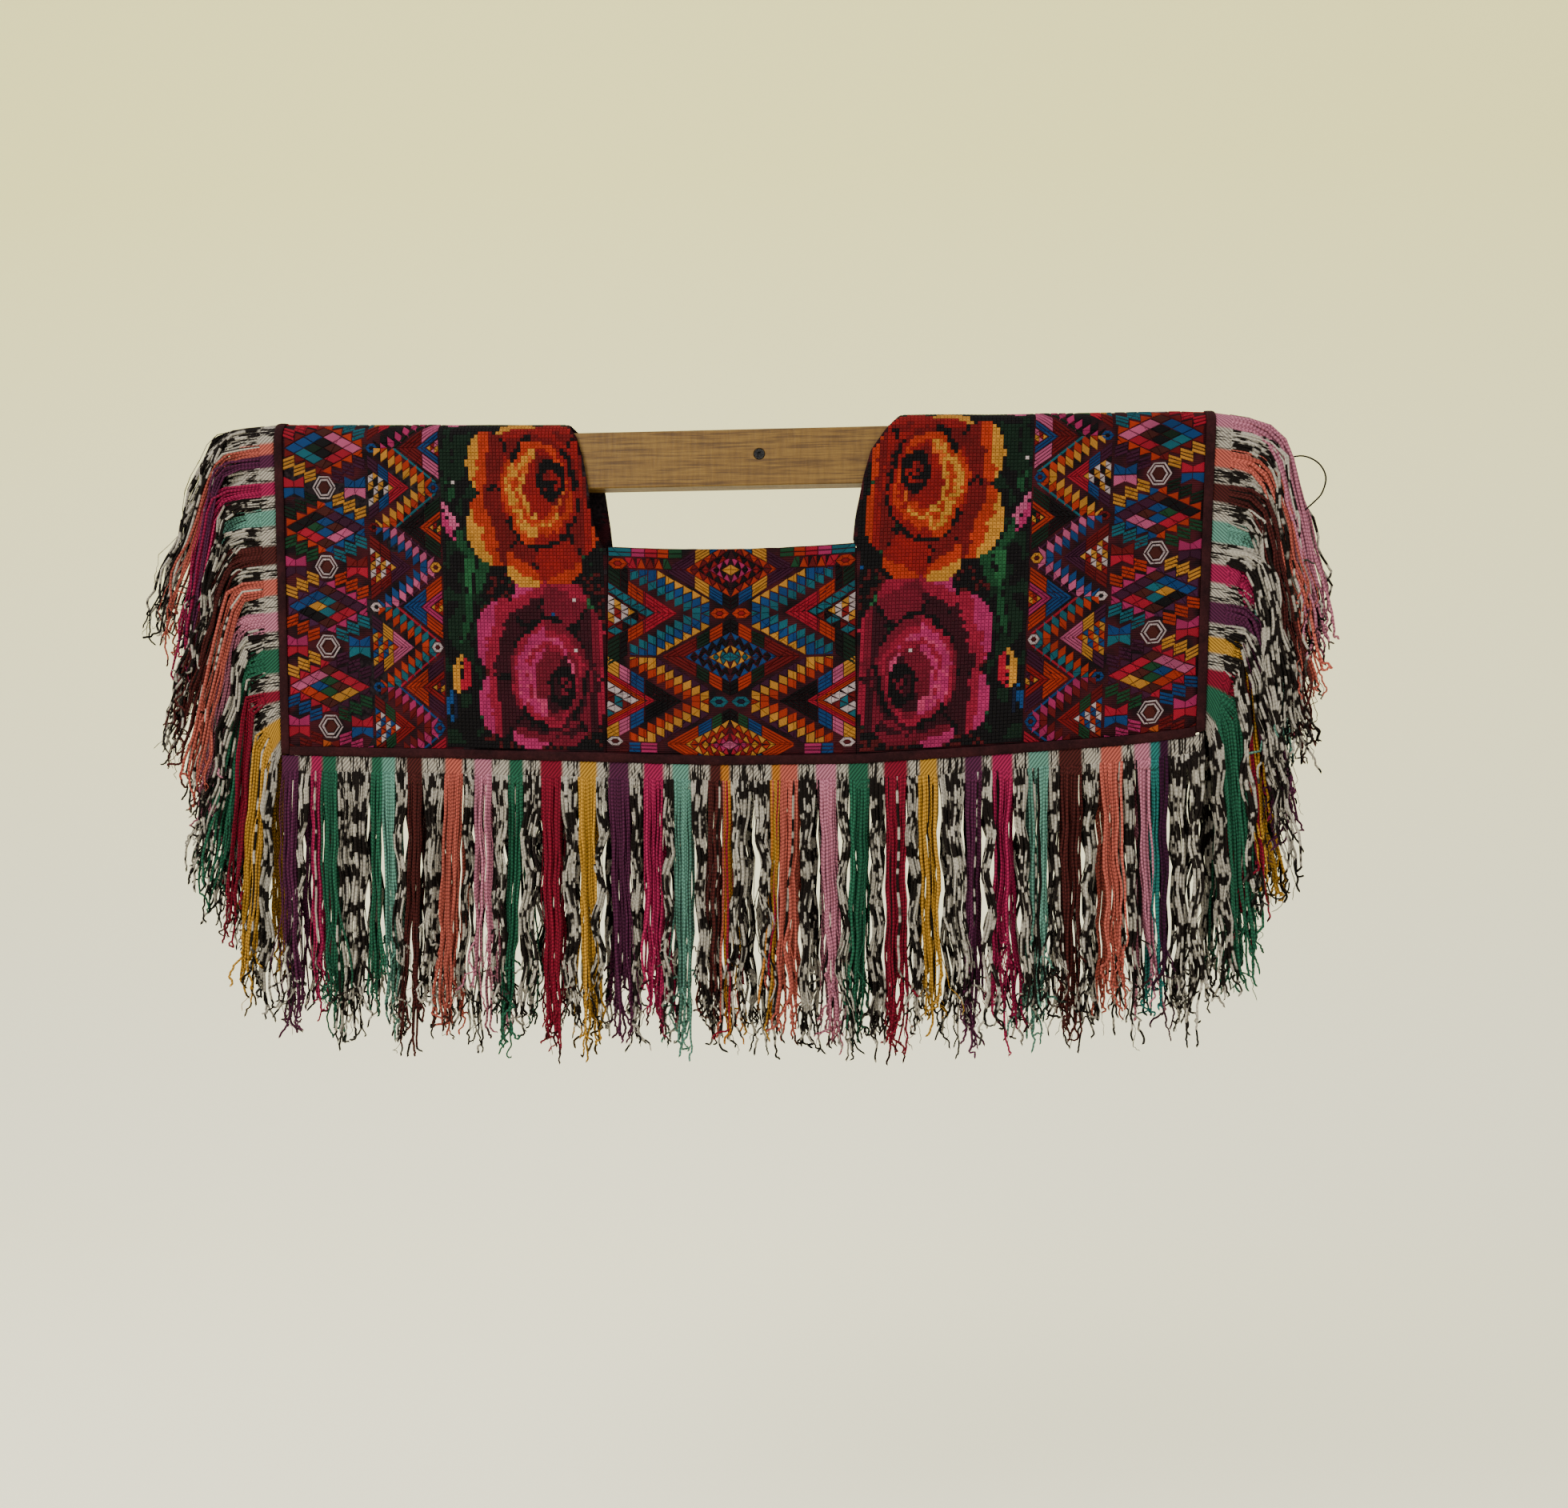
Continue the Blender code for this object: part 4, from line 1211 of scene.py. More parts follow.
def cross_arms(chart, middle, tooth, near, far):
    """The arms of a cross: stairs of bricks in even columns, near and far from the
    diamonds, with teeth that fill the steps up to the diamonds' slanting edge."""
    gap = 0.3
    for number in range(ARM_COLUMNS):
        left = ARM_START + number * ARM_COLUMN
        right = left + ARM_COLUMN
        edges = [ARM_EDGE + ARM_SLOPE * across for across in (left, right)]
        stair = sum(edges) / 2 - TOOTH
        below = stair - NEAR_BRICK
        if edges[1] > ARM_REACH + 2:
            stair = max(stair, ARM_REACH - 3 * (number - 6) + STAIR_TILT)
        courses = [(near, stair, below), (far, below, below - FAR_BRICK)]
        if edges[1] <= ARM_REACH + 2:
            courses.append((tooth, None, stair))
        for way in (-1, 1):
            for dye, high, low in courses:
                tops = edges if high is None else (high + STAIR_TILT, high - STAIR_TILT)
                shape = [
                    (left + gap, tops[0] - gap), (right - gap, tops[1] - gap),
                    (right - gap, low - STAIR_TILT + gap), (left + gap, low + STAIR_TILT + gap),
                ]
                corners = [(across, middle + way * height) for across, height in shape]
                corners = keep_side(corners, (0, -way), -way * middle)
                corners = keep_side(corners, (0, way), way * middle + ARM_REACH)
                if len(corners) > 2:
                    chart.append((corners, dye, -way * math.atan(2 * STAIR_TILT / ARM_COLUMN)))


def add_teeth(chart, middle, lean, lines, count, inward, outward):
    """A ring of small triangles between two lines of a diamond, pointing in and out."""
    ring = Zigzag(chart, middle, lean)
    width = lines[1] / count
    for way in (-1, 1):
        for number in range(count):
            near, far = number * width, (number + 1) * width
            centre, beyond = (near + far) / 2, far + width / 2
            peak = ring.down(max(lines[0], centre), centre, way)
            next_peak = ring.down(max(lines[0], beyond), beyond, way)
            for dye, corners in (
                (inward, [(near + 0.3, ring.down(lines[1], near + 0.3, way)),
                          (far - 0.3, ring.down(lines[1], far - 0.3, way)), (centre, peak)]),
                (outward, [(far - width * 0.42, peak), (far + width * 0.42, next_peak),
                           (far, ring.down(lines[1], far, way) - way * 0.7)]),
            ):
                corners = keep_side(corners, (0, -way), -way * middle)
                if dye and len(corners) > 2:
                    chart.append((corners, dye, 0))


def half_centre_chart():
    """The brocade to the right of the middle line: (across from it, down), in mm."""
    chart = []
    cross_arms(chart, CROSSES[0], "amber", "blue", "teal")
    cross_arms(chart, CROSSES[1], "plum", "amber", "vermilion")
    upper = Zigzag(chart, CROSSES[0], -1.55)
    upper.rows((42.5, 60.0), (42, 69.4), 4, "crimson", 0.4)
    upper.rows((42.5, 60.0), (69.8, 81.9), 4, "vermilion", 0.4)
    upper.rows((28, 60.0), (82.4, 88), 5, "black", 0.4)
    upper.rows((28, 60.0), (88.4, CENTRE_HALF), 6, "forest", 0.4)
    lower = Zigzag(chart, CROSSES[1], -1.715)
    lower.rows((38.1, 59), (38, 68.5), 5, "black", 0.4)
    lower.rows((38.1, 59), (68.9, 79.8), 4, "blue", 0.4)
    lower.rows((38.1, 59), (80.2, 88.4), 4, "pink", 0.4)
    lower.rows((38.1, 59), (88.8, CENTRE_HALF), 4, "amber", 0.4)
    lower.rows((59.6, 66), (59.6, CENTRE_HALF), 2, "crimson", 0.3)
    lower.rows((66.3, 72), (66.3, CENTRE_HALF), 2, "vermilion", 0.3)
    add_triangles(chart, (61.3, CROSSES[0]), -37.2, 6, ("teal", "garnet", "teal", "black"), 1.28)
    clear(chart, [(75.5, CROSSES[0]), (CENTRE_HALF, CROSSES[0] - 15), (CENTRE_HALF, CROSSES[0] + 15)])
    add_triangles(chart, (76.3, CROSSES[0]), -22.2, 4, ("amber", "white", "white", "scarlet"), 1.28)
    add_triangles(chart, (73, CROSSES[1]), -25.5, 4, ("white", "garnet", "white", "teal"), 1.17)

    diamonds = (
        # middle, lean, outer and inner line, where the rows change dye, their dyes, then
        # the dyes of three rings of triangles and of the heart
        (17.1, 1.61, (53.3, 36.9), (28.6, 16.8), ("plum", "amber", "blue"),
         (("vermilion", "garnet"), ("black", "scarlet"), ("magenta", "black")), "amber"),
        (88.2, 1.77, (55.8, 36.8), (26.6, 16.5), ("garnet", "forest", "vermilion"),
         (("blue", "black"), ("black", "blue"), ("amber", "teal")), "teal"),
        (159.3, 1.72, (52.0, 36.0), (24.7, 14.0), ("vermilion", "blue", "green"),
         (("amber", "vermilion"), ("scarlet", "amber"), ("crimson", "magenta")), "pink"),
    )
    for middle, lean, (outer, inner), (first, second), dyes, rings, heart in diamonds:
        part = []
        side = Zigzag(part, middle, lean)
        side.rows((inner, outer), (first + 0.3, outer), 4, dyes[0], 0.4)
        side.rows((inner, outer), (second + 0.3, first - 0.1), 4, dyes[1], 0.4)
        side.rows((inner, outer), (6.4, second - 0.1), 4, dyes[2], 0.4)
        side.rows((inner, outer), (0, 6.0), 3, "black", 0.4)
        for number, (inward, outward) in enumerate(rings):
            far = inner - 0.6 - number * 9.6
            add_teeth(part, middle, lean, (far - 9.2, far), 5 - number, inward, outward)
        side.rows((0.3, inner - 29.6), (0, inner - 29.6), 1, heart, 0.2)
        trim(part, (0, 0), (CENTRE_HALF, CENTRE_DOWN))
        chart.extend(part)
    for middle, dye in zip(CROSSES, ("vermilion", "teal")):
        heart = "scarlet" if dye == "vermilion" else "navy"
        add_eye(chart, (8.6, middle), (15.4, 8.2), ((1.0, dye), (0.38, heart)))
    for left, right, dye in (
        (79.8, CENTRE_HALF, "teal"), (69, 79.4, "magenta"), (59, 68.6, "crimson"),
        (50, 58.6, "vermilion"), (39, 49.6, "green"),
    ):
        clear(chart, [(left, 0), (right, 0), (right, 8.2), (left, 8.2)])
        add_rows(chart, [(left, 0.4), (right, 0.4), (right, 7.8), (left, 7.8)], 2, dye)
    for number, dye in enumerate(("green", "vermilion", "garnet", "vermilion", "crimson")):
        across = 47 + 7.0 * number
        clear(chart, [(across, 17), (across + 7, 17), (across + 7, 8.2), (across, 8.2)])
        chart.append(([(across, 16.8), (across + 6.8, 16.8), (across + 3.4, 8.4)], dye, 0))
        other = ("green", "scarlet", "scarlet", "crimson", "crimson")[number]
        chart.append(([(across + 3.8, 8.4), (across + 10, 8.4), (across + 6.9, 16.2)], other, 0))
    add_eye(chart, (90.4, 13.4), (16, 8.6), ((1.0, "vermilion"), (0.40, "scarlet")))
    for left, right, dye in ((58, 71, "magenta"), (71.6, 80.5, "blue"), (81, 88, "maroon")):
        clear(chart, [(left, 158), (right, 158), (right, 167), (left, 167)])
        add_rows(chart, [(left, 158.4), (right, 158.4), (right, 167), (left, 167)], 3, dye)
    add_eye(chart, (91.5, 158), (13, 7), ((1.0, "white"), (0.45, "maroon")))
    return chart


def centre_chart():
    half = half_centre_chart()
    trim(half, (0.1, 0.2), (SEAM_X / MM - 0.6, CENTRE_DOWN))
    mirrored = [([(-x, y) for x, y in corners], dye, -turn) for corners, dye, turn in half]
    return half + mirrored


def centre_place(way, lift):
    """Where (across, down, up) in mm lands on a centre panel, front or back."""
    def place(co):
        x = co[0] * MM
        sag = NECK_SAG * math.cos(math.pi / 2 * min(abs(x) / SEAM_X, 1))
        top = NECK_HEIGHT - sag + RIPPLE * noise.noise(Vector((x * 90, 0, way)))
        foot = hem_height(x) + BINDING + LAID_UNDER
        z = top + (foot - top) * co[1] / CENTRE_DOWN
        folds = FRONT_FOLDS if way < 0 else BACK_FOLDS
        out = FOLD_RADIUS + lift + co[2] * MM + ripple_at(x, z) + standing_out(folds, x, z)
        return Vector((x, FOLD_CENTRE_Y + way * out, z))

    return place


for leg, way, seed in (("front", -1, 31), ("back", 1, 32)):
    bm = flat_patches(centre_chart())
    slice_rows(bm, DOWN_CUTS, ACROSS_CUTS)
    wrap(bm, centre_place(way, BROCADE_BASE), way)
    brocade = finish_patches(f"{leg}_centre_brocade", bm, brocade_yarn, seed)
    lay = centre_place(way, GROUND_TOP)
    bm = flat_ground(
        26, list(np.linspace(0, CENTRE_DOWN, 30)),
        lambda share, down: lay(((share - 0.5) * 2 * (SEAM_X / MM - 0.2), down, 0)),
    )
    ground = close_ground(f"{leg}_centre_panel_ground", bm, way < 0)
    for piece in (ground, brocade):
        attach(piece, "root")
    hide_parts(f"{leg}_centre_panel")


# ---------------------------------------------------------------------------------
# Bindings. A strip of plain maroon cloth folded round each outer edge of the blouse, from
# hem to hem along the sides, and along each hem. It is sewn through, so it puckers.

BINDING_THICK = 3.3 * MM
BINDING_REACH = BINDING * 1.06
TURNED_IN = 4.9 * MM
# How far the sewing draws the binding in, as a share of its width, and lifts it.
PUCKER = 0.05
PUCKER_LIFT = 0.25 * MM
HEM_STATIONS = 170
# The cut strip: two legs, the way round the edge, and the raw edges turned in under both.
RAW_EDGE = TURNED_IN / BINDING_REACH
BINDING_HALF = (
    # the front leg in section, as share of its reach and share of the whole thickness:
    # its outside from the edge inwards, round the turn, and back along its inside
    (0.94, 0.88), (0.70, 1.0), (0.30, 1.0), (0.02, 0.93), (0.0, 0.82), (0.02, 0.71),
    (0.30, 0.67), (RAW_EDGE, 0.67), (RAW_EDGE, 0.82), (0.08, 0.835), (RAW_EDGE, 0.85),
    (0.84, 0.78),
)
# The back leg is its mirror image, and the two meet at the edge, outside and inside.
BINDING_PROFILE = (
    [(1.0, 0.5)] + list(BINDING_HALF) + [(0.89, 0.5)]
    + [(across, 1 - out) for across, out in reversed(BINDING_HALF)]
)

binding_cloth = new_material("binding_cloth", 0.88, CLOTH_SHINE)
binding_fibres = noise_output(binding_cloth, place_output(binding_cloth), 420, 4)
binding_wear = noise_output(binding_cloth, place_output(binding_cloth), 45, 3)
binding_colour = ramp_node(binding_cloth, binding_wear, (
    (0.32, (0.010, 0.0022, 0.0032)),
    (0.66, (0.024, 0.0048, 0.0062)),
))
binding_shade = ramp_node(binding_cloth, binding_fibres, ((0.32, (0.55, 0.5, 0.5)), (0.62, (1, 1, 1))))
finish_surface(
    binding_cloth,
    mix_colours(binding_cloth, 0.8, binding_colour, binding_shade, "MULTIPLY"),
    binding_fibres, 0.0007, 0.7,
)


def add_binding(name, node, stations, length):
    """Sweeps the folded section along stations, each (share across, share out) -> place."""
    bm = bmesh.new()
    around = len(BINDING_PROFILE)
    bmesh.ops.create_grid(bm, x_segments=around, y_segments=len(stations) - 1, size=0.5)
    for vert in bm.verts:
        column = round((vert.co.x + 0.5) * around) % around
        row = round((vert.co.y + 0.5) * (len(stations) - 1))
        vert.co = stations[row](*BINDING_PROFILE[column])
    bmesh.ops.remove_doubles(bm, verts=bm.verts[:], dist=1e-6)
    bmesh.ops.holes_fill(bm, edges=[edge for edge in bm.edges if edge.is_boundary], sides=0)
    bmesh.ops.recalc_face_normals(bm, faces=bm.faces[:])
    mesh = mesh_from(name, bm, binding_cloth)
    mesh.shade_smooth()
    binding = add_object(name, mesh)
    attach(binding, "root")
    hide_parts(node)


def side_binding_station(side, run):
    def station(across, out):
        pucker = noise.noise(Vector((run * 160, across * 2, side * 4 + out)))
        x = outer_edge(run) - BINDING_REACH + across * (BINDING_REACH + PUCKER * BINDING * pucker)
        return hang(side * x, run, out * BINDING_THICK + PUCKER_LIFT * pucker * (out - 0.3))

    return station


def hem_binding_station(way, x):
    def station(across, out):
        pucker = noise.noise(Vector((x * 160, across * 2, way * 7 + out)))
        z = hem_height(x) + BINDING_REACH - across * (BINDING_REACH + PUCKER * BINDING * pucker)
        folds = FRONT_FOLDS if way < 0 else BACK_FOLDS
        lift = FOLD_RADIUS + out * BINDING_THICK + PUCKER_LIFT * pucker * (out - 0.3)
        return Vector((x, FOLD_CENTRE_Y + way * (lift + standing_out(folds, x, z)), z))

    return station


# The side edges go 6 mm further than the panels, over the hem bindings.
EDGE_HALF = HALF_LENGTH * 1.022
EDGE_RUNS = [-EDGE_HALF * t for t in LEG_RUNS[:0:-1]] + [EDGE_HALF * t for t in LEG_RUNS]


def edge_length(side):
    """How long a side edge is, from hem to hem over the fold."""
    places = [hang(side * outer_edge(run), run, 0) for run in EDGE_RUNS]
    return sum((after - before).length for before, after in zip(places, places[1:]))


for side, side_name in ((-1, "left"), (1, "right")):
    dense = [run for pair in zip(EDGE_RUNS, EDGE_RUNS[1:]) for run in (pair[0], sum(pair) / 2)]
    add_binding(
        f"{side_name}_edge_binding", f"{side_name}_binding",
        [side_binding_station(side, run) for run in dense + EDGE_RUNS[-1:]],
        edge_length(side),
    )
for leg, way in (("front", -1), ("back", 1)):
    reach = HEM_REACH - BINDING
    add_binding(
        f"{leg}_hem_edge_binding", f"{leg}_hem_binding",
        [hem_binding_station(way, x) for x in np.linspace(-reach, reach, HEM_STATIONS)],
        2 * reach,
    )


# ---------------------------------------------------------------------------------
# Fringe. A band of handwoven striped cloth is sewn on round the hems and the arm sides,
# 12 mm deep, and 5 to 18 mm more stay woven. Past that its warps hang free, in the order of
# the stripes: plain dyes, and warps tied and dyed black and white. Their ends are frayed.

BAND = 12 * MM
YARNS = {
    "purple": "642B50", "magenta": "BE2860", "green": "2F7358", "mint": "78B5A4",
    "brown": "5A2624", "coral": "E37264", "pink": "E08CA8", "crimson": "9C1A38",
    "yellow": "E2A83C", "orange": "DC8A34", "teal": "2F8E8A", "plum": "43183A",
    "ikat": "D3CBBE", "dark": "1B1512",
}
HEM_STRIPES = (
    # dye and width in mm, from left to right along each hem
    "purple 14 ikat 10 magenta 9 green 12 ikat 28 green 9 mint 10 ikat 11 brown 13 ikat 18 "
    "coral 14 ikat 10 pink 13 ikat 13 green 12 ikat 14 crimson 17 ikat 14 yellow 14 ikat 10 "
    "purple 16 ikat 11 magenta 16 ikat 8 mint 14 ikat 14 brown 11 orange 7 ikat 31 orange 8 "
    "coral 13 ikat 14 pink 16 ikat 9 green 16 ikat 12 crimson 17 ikat 9 yellow 15 ikat 20 "
    "purple 13 ikat 8 magenta 16 ikat 11 mint 16 ikat 8 brown 17 ikat 14 coral 17 ikat 9 "
    "pink 12 teal 6 plum 6 ikat 27"
)
LEFT_STRIPES = (
    # from the top of the fold down to the hem
    "ikat 23 coral 9 purple 9 ikat 11 magenta 12 ikat 9 mint 13 ikat 15 brown 16 ikat 11 "
    "coral 13 ikat 12 pink 16 ikat 11 green 21 ikat 12 crimson 8 ikat 14 yellow 16 ikat 10"
)
RIGHT_STRIPES = (
    "ikat 4 pink 16 ikat 16 coral 16 ikat 12 brown 16 ikat 14 mint 17 ikat 16 magenta 16 "
    "ikat 14 purple 17 ikat 10 yellow 12 ikat 13 crimson 14 green 20 ikat 14"
)


def stripes_of(text, turned=False):
    """Stripes as (start share, end share, dye), over the whole length."""
    words = text.split()
    stripes = list(zip(words[::2], map(float, words[1::2])))
    if turned:
        stripes = stripes[::-1]
    whole = sum(width for _, width in stripes)
    placed, walked = [], 0.0
    for dye, width in stripes:
        placed.append((walked / whole, (walked + width) / whole, dye))
        walked += width
    return placed


def there_and_back(text):
    """The same stripes up the front edge and down the back one."""
    up = [(a / 2, b / 2, dye) for a, b, dye in stripes_of(text, turned=True)]
    return up + [(1 - b, 1 - a, dye) for a, b, dye in up[::-1]]


def stripe_at(stripes, share):
    for start, end, dye in stripes:
        if share < end:
            return start, end, dye
    return stripes[-1]


# Tied warps: how far apart the rows of ties are in mm, the noise past which a warp took up
# black, and how fine its dashes and the larger patches of them are, across and along.
TIE_ROWS = 26.0
TIED_SHARE = 0.490
DASH_SCALE = (0.82, 0.078, 1)
PATCH_SCALE = (0.085, 0.030, 1)
# The pitch in mm of the crimp that the weave left in a yarn.
CRIMP = 2.9


def dyed_colour(material, sharpness):
    """The dye of a warp, and black where a tied one took up the dye, in rows of dashes
    with ragged ends. It also gives the place (across, along) in mm, split, and whether
    the warp is a tied one."""
    dye, tied, place = [add_node(material, "ShaderNodeAttribute") for _ in range(3)]
    for node, name in zip((dye, tied, place), ("yarn", "tied", "along")):
        node.attribute_name = name
    split = add_node(material, "ShaderNodeSeparateXYZ", Vector=place.outputs["Vector"])
    spread = add_node(material, "ShaderNodeMapping", Vector=place.outputs["Vector"])
    spread.inputs["Scale"].default_value = DASH_SCALE
    dashes = noise_output(material, spread.outputs[0], 1.0, 1.2, 0.5)
    patchy = add_node(material, "ShaderNodeMapping", Vector=place.outputs["Vector"])
    patchy.inputs["Scale"].default_value = PATCH_SCALE
    patches = noise_output(material, patchy.outputs[0], 1.0, 1.0)
    patches = math_node(material, "SUBTRACT", patches, 0.5)
    dashes = math_node(material, "MULTIPLY_ADD", patches, 0.55, dashes)
    rows = math_node(material, "SINE", math_node(
        material, "MULTIPLY", split.outputs[1], math.tau / TIE_ROWS))
    dashes = math_node(material, "MULTIPLY_ADD", rows, -0.055, dashes)
    dashes = ramp_node(material, dashes, (
        (TIED_SHARE - sharpness, (1, 1, 1)),
        (TIED_SHARE + sharpness, (0.022, 0.016, 0.016)),
    ))
    black = mix_colours(material, tied.outputs["Fac"], (1, 1, 1, 1), dashes)
    colour = mix_colours(material, 1.0, dye.outputs["Color"], black, "MULTIPLY")
    return colour, split, tied.outputs["Fac"]


fringe_yarn = new_material("fringe_yarn", 0.86, CLOTH_SHINE)
fringe_colour, yarn_split, yarn_tied = dyed_colour(fringe_yarn, 0.022)
# Painted shade and highlight along each yarn from the crimp's wave: darker in its hollows, brighter than
# the dye on its crests, and weaker on tied warps.
crimp_phase = math_node(fringe_yarn, "MULTIPLY_ADD", yarn_split.outputs[0], 5.3, math_node(
    fringe_yarn, "MULTIPLY", yarn_split.outputs[1], math.tau / CRIMP))
crimp = math_node(fringe_yarn, "MULTIPLY_ADD", math_node(fringe_yarn, "SINE", crimp_phase), 0.5, 0.5)
crimp_shade_and_highlight = ramp_node(fringe_yarn, crimp, ((0.05, (0.46, 0.43, 0.43)), (0.70, (1.12, 1.11, 1.10))))
crimp_paint_strength = math_node(fringe_yarn, "MULTIPLY_ADD", yarn_tied, -0.50, 0.82)
finish_surface(
    fringe_yarn, mix_colours(fringe_yarn, crimp_paint_strength, fringe_colour, crimp_shade_and_highlight, "MULTIPLY"),
    crimp, 0.0006, 0.8,
)

TWILL_ACROSS = 2.9
TWILL_ALONG = 3.6
fringe_band = new_material("fringe_band", 0.88, CLOTH_SHINE)
band_colour, band_split, _ = dyed_colour(fringe_band, 0.02)
twill = math_node(fringe_band, "MULTIPLY_ADD", band_split.outputs[0], math.tau / TWILL_ACROSS, math_node(
    fringe_band, "MULTIPLY", band_split.outputs[1], math.tau / TWILL_ALONG))
band_height = math_node(fringe_band, "MULTIPLY_ADD", math_node(fringe_band, "SINE", twill), 0.5, 0.5)
# Painted shade in the twill's furrows and painted highlight on its ridges.
twill_shade_and_highlight = ramp_node(fringe_band, band_height, ((0.10, (0.34, 0.31, 0.32)), (0.66, (1.08, 1.07, 1.06))))
finish_surface(
    fringe_band, mix_colours(fringe_band, 0.9, band_colour, twill_shade_and_highlight, "MULTIPLY"),
    band_height, 0.0005, 0.9,
)


def store(mesh, colours, tied, places):
    """Stores dye, tied share and (across, along) in mm on every point."""
    for name, kind, field, values in (
        ("yarn", "FLOAT_COLOR", "color", colours),
        ("tied", "FLOAT", "value", tied),
        ("along", "FLOAT_VECTOR", "vector", places),
    ):
        layer = mesh.attributes.new(name, kind, "POINT")
        layer.data.foreach_set(field, np.asarray(values, dtype=np.float32).ravel())


def add_band(name, length, stripes, edge, onward, woven):
    """The woven strip. edge(share) gives its inner edge, the way out and the way up,
    onward(share, fallen) how the cloth goes on past the sewn band, and woven(share) how
    far it stays woven there."""
    thickness, step, rows = 1.5 * MM, 2.3 * MM, 9
    columns = round(length / step)
    bm = bmesh.new()
    bmesh.ops.create_grid(bm, x_segments=columns, y_segments=rows, size=0.5)
    along = bm.verts.layers.float_vector.new("along")
    for vert in bm.verts:
        share, out = vert.co.x + 0.5, vert.co.y + 0.5
        start, outwards, up = edge(share)
        loosened = 1 + 0.35 * noise.noise(Vector((share * length * 75, 0, 2)))
        reach = out * (BAND + woven(share) * loosened)
        crimp = noise.noise(Vector((share * length * 120, out * 4, 9)))
        vert[along] = (share * length / MM, reach / MM, 0)
        vert.co = start + outwards * (min(reach, BAND) - 0.5 * MM) + up * (
            thickness * (1 - 0.25 * out) + 0.55 * MM * crimp)
        if reach > BAND:
            vert.co += onward(share, reach - BAND)
    bmesh.ops.recalc_face_normals(bm, faces=bm.faces[:])
    if bm.faces[:][0].normal.dot(edge(0.0)[2]) < 0:
        bmesh.ops.reverse_faces(bm, faces=bm.faces[:])
    bmesh.ops.solidify(bm, geom=bm.faces[:], thickness=thickness * 0.6)
    places = [tuple(vert[along]) for vert in bm.verts]
    dyes = [stripe_at(stripes, place[0] * MM / length)[2] for place in places]
    mesh = mesh_from(name, bm, fringe_band)
    mesh.attributes.remove(mesh.attributes["along"])
    colours = [(*linear(YARNS[dye]), 1) for dye in dyes]
    store(mesh, colours, [float(dye == "ikat") for dye in dyes], places)
    mesh.shade_smooth()
    return add_object(name, mesh)


YARN_SIDES = 4
section_curve = bpy.data.curves.new("yarn_section", "CURVE")
section_spline = section_curve.splines.new("POLY")
section_spline.points.add(YARN_SIDES - 1)
for number, point in enumerate(section_spline.points):
    turn = number * math.tau / YARN_SIDES
    point.co = (math.cos(turn), math.sin(turn), 0, 1)
section_spline.use_cyclic_u = True
yarn_section = bpy.data.objects.new("yarn_section", section_curve)


def add_yarns(name, yarns):
    """Every yarn as a thin four-sided strand. A yarn is (points, radii, dye, share that
    is tied and dyed, place along the band, how many points of its end are dark)."""
    curve = bpy.data.curves.new(name, "CURVE")
    curve.dimensions = "3D"
    curve.bevel_mode = "OBJECT"
    curve.bevel_object = yarn_section
    for points, radii, *_ in yarns:
        spline = curve.splines.new("POLY")
        spline.points.add(len(points) - 1)
        spline.points.foreach_set("co", [c for point in points for c in (*point, 1)])
        spline.points.foreach_set("radius", radii)
    holder = bpy.data.objects.new(name + "_line", curve)
    bpy.context.scene.collection.objects.link(yarn_section)
    bpy.context.scene.collection.objects.link(holder)
    finished = holder.evaluated_get(bpy.context.evaluated_depsgraph_get())
    mesh = bpy.data.meshes.new_from_object(finished)
    mesh.name = name
    for helper in (holder, yarn_section):
        bpy.context.scene.collection.objects.unlink(helper)
    bpy.data.objects.remove(holder)
    colours, ties, places = [], [], []
    for points, _, dye, tied, root, inked in yarns:
        walked = BAND / MM
        for number, point in enumerate(points):
            if number:
                walked += (point - points[number - 1]).length / MM
            dark = 0.10 if number >= len(points) - inked else 1.0
            colours += [(*[c * dark for c in dye], 1)] * YARN_SIDES
            ties += [tied] * YARN_SIDES
            places += [(root, walked, 0)] * YARN_SIDES
    if len(colours) != len(mesh.vertices):
        raise RuntimeError(f"{name}: {len(mesh.vertices)} points for {len(colours)} colours")
    store(mesh, colours, ties, places)
    bm = bmesh.new()
    bm.from_mesh(mesh)
    bm.verts.ensure_lookup_table()
    ends, first = [], 0
    for points, *_ in yarns:
        last = first + YARN_SIDES * len(points)
        ends += bm.verts[first:first + YARN_SIDES] + bm.verts[last - YARN_SIDES:last]
        first = last
    bmesh.ops.remove_doubles(bm, verts=ends, dist=1e-6)
    bm.to_mesh(mesh)
    bm.free()
    mesh.shade_smooth()
    mesh.materials.clear()
    mesh.materials.append(fringe_yarn)
    return add_object(name, mesh)


YARN_RADIUS = 1.14 * MM
WISP_WIDTH = 0.34
# Yarns hang in groups, and these part into clumps lower down. Both widths are in mm.
GROUP_WIDTH = 15.0
CLUMP_WIDTH = 5.5
# How often a yarn strays, is a thin wisp, keeps most of its length, or has an odd colour.
STRAYS, WISPS, LONG_ONES, ODD_ONES = 0.07, 0.15, 0.7, 0.07
# The vector noise that kinks the yarns would otherwise take its seed from the clock.
noise.seed_set(45)
WALL_GAP = 1.2 * MM
FRONT_LIMIT = -50 * MM
CURLED_FROM = 0.90
YARN_SHARES = [0, 0.006] + [
    # long steps above, short ones where the end curls
    start + (end - start) * (step + 1) / steps
    for start, end, steps in ((0.006, 0.62, 8), (0.62, CURLED_FROM, 6), (CURLED_FROM, 1.0, 12))
    for step in range(steps)
]


def group_habit(chance, tied, length_range):
    """How the yarns of one group hang together. Lengths across are in mm."""
    return {
        "pull": chance.uniform(0.15, 0.55) if tied else chance.uniform(0.02, 0.26),
        "sway": chance.gauss(0, 5.0),
        "waviness": chance.uniform(1.0, 3.2) if tied else chance.uniform(0.2, 1.1),
        "wave": chance.uniform(38, 70),
        "forward": chance.gauss(0, 2.4),
        "lean": chance.gauss(0, 2.5),
        "splay": chance.uniform(2.5, 8.5),
        "length": chance.uniform(*length_range),
        "phase": chance.uniform(0, 60),
        "inked": chance.random() < 0.62,
        "reach": chance.uniform(0.78, 1.18),
        "slant": math.radians(chance.gauss(0, 3.0)),
    }


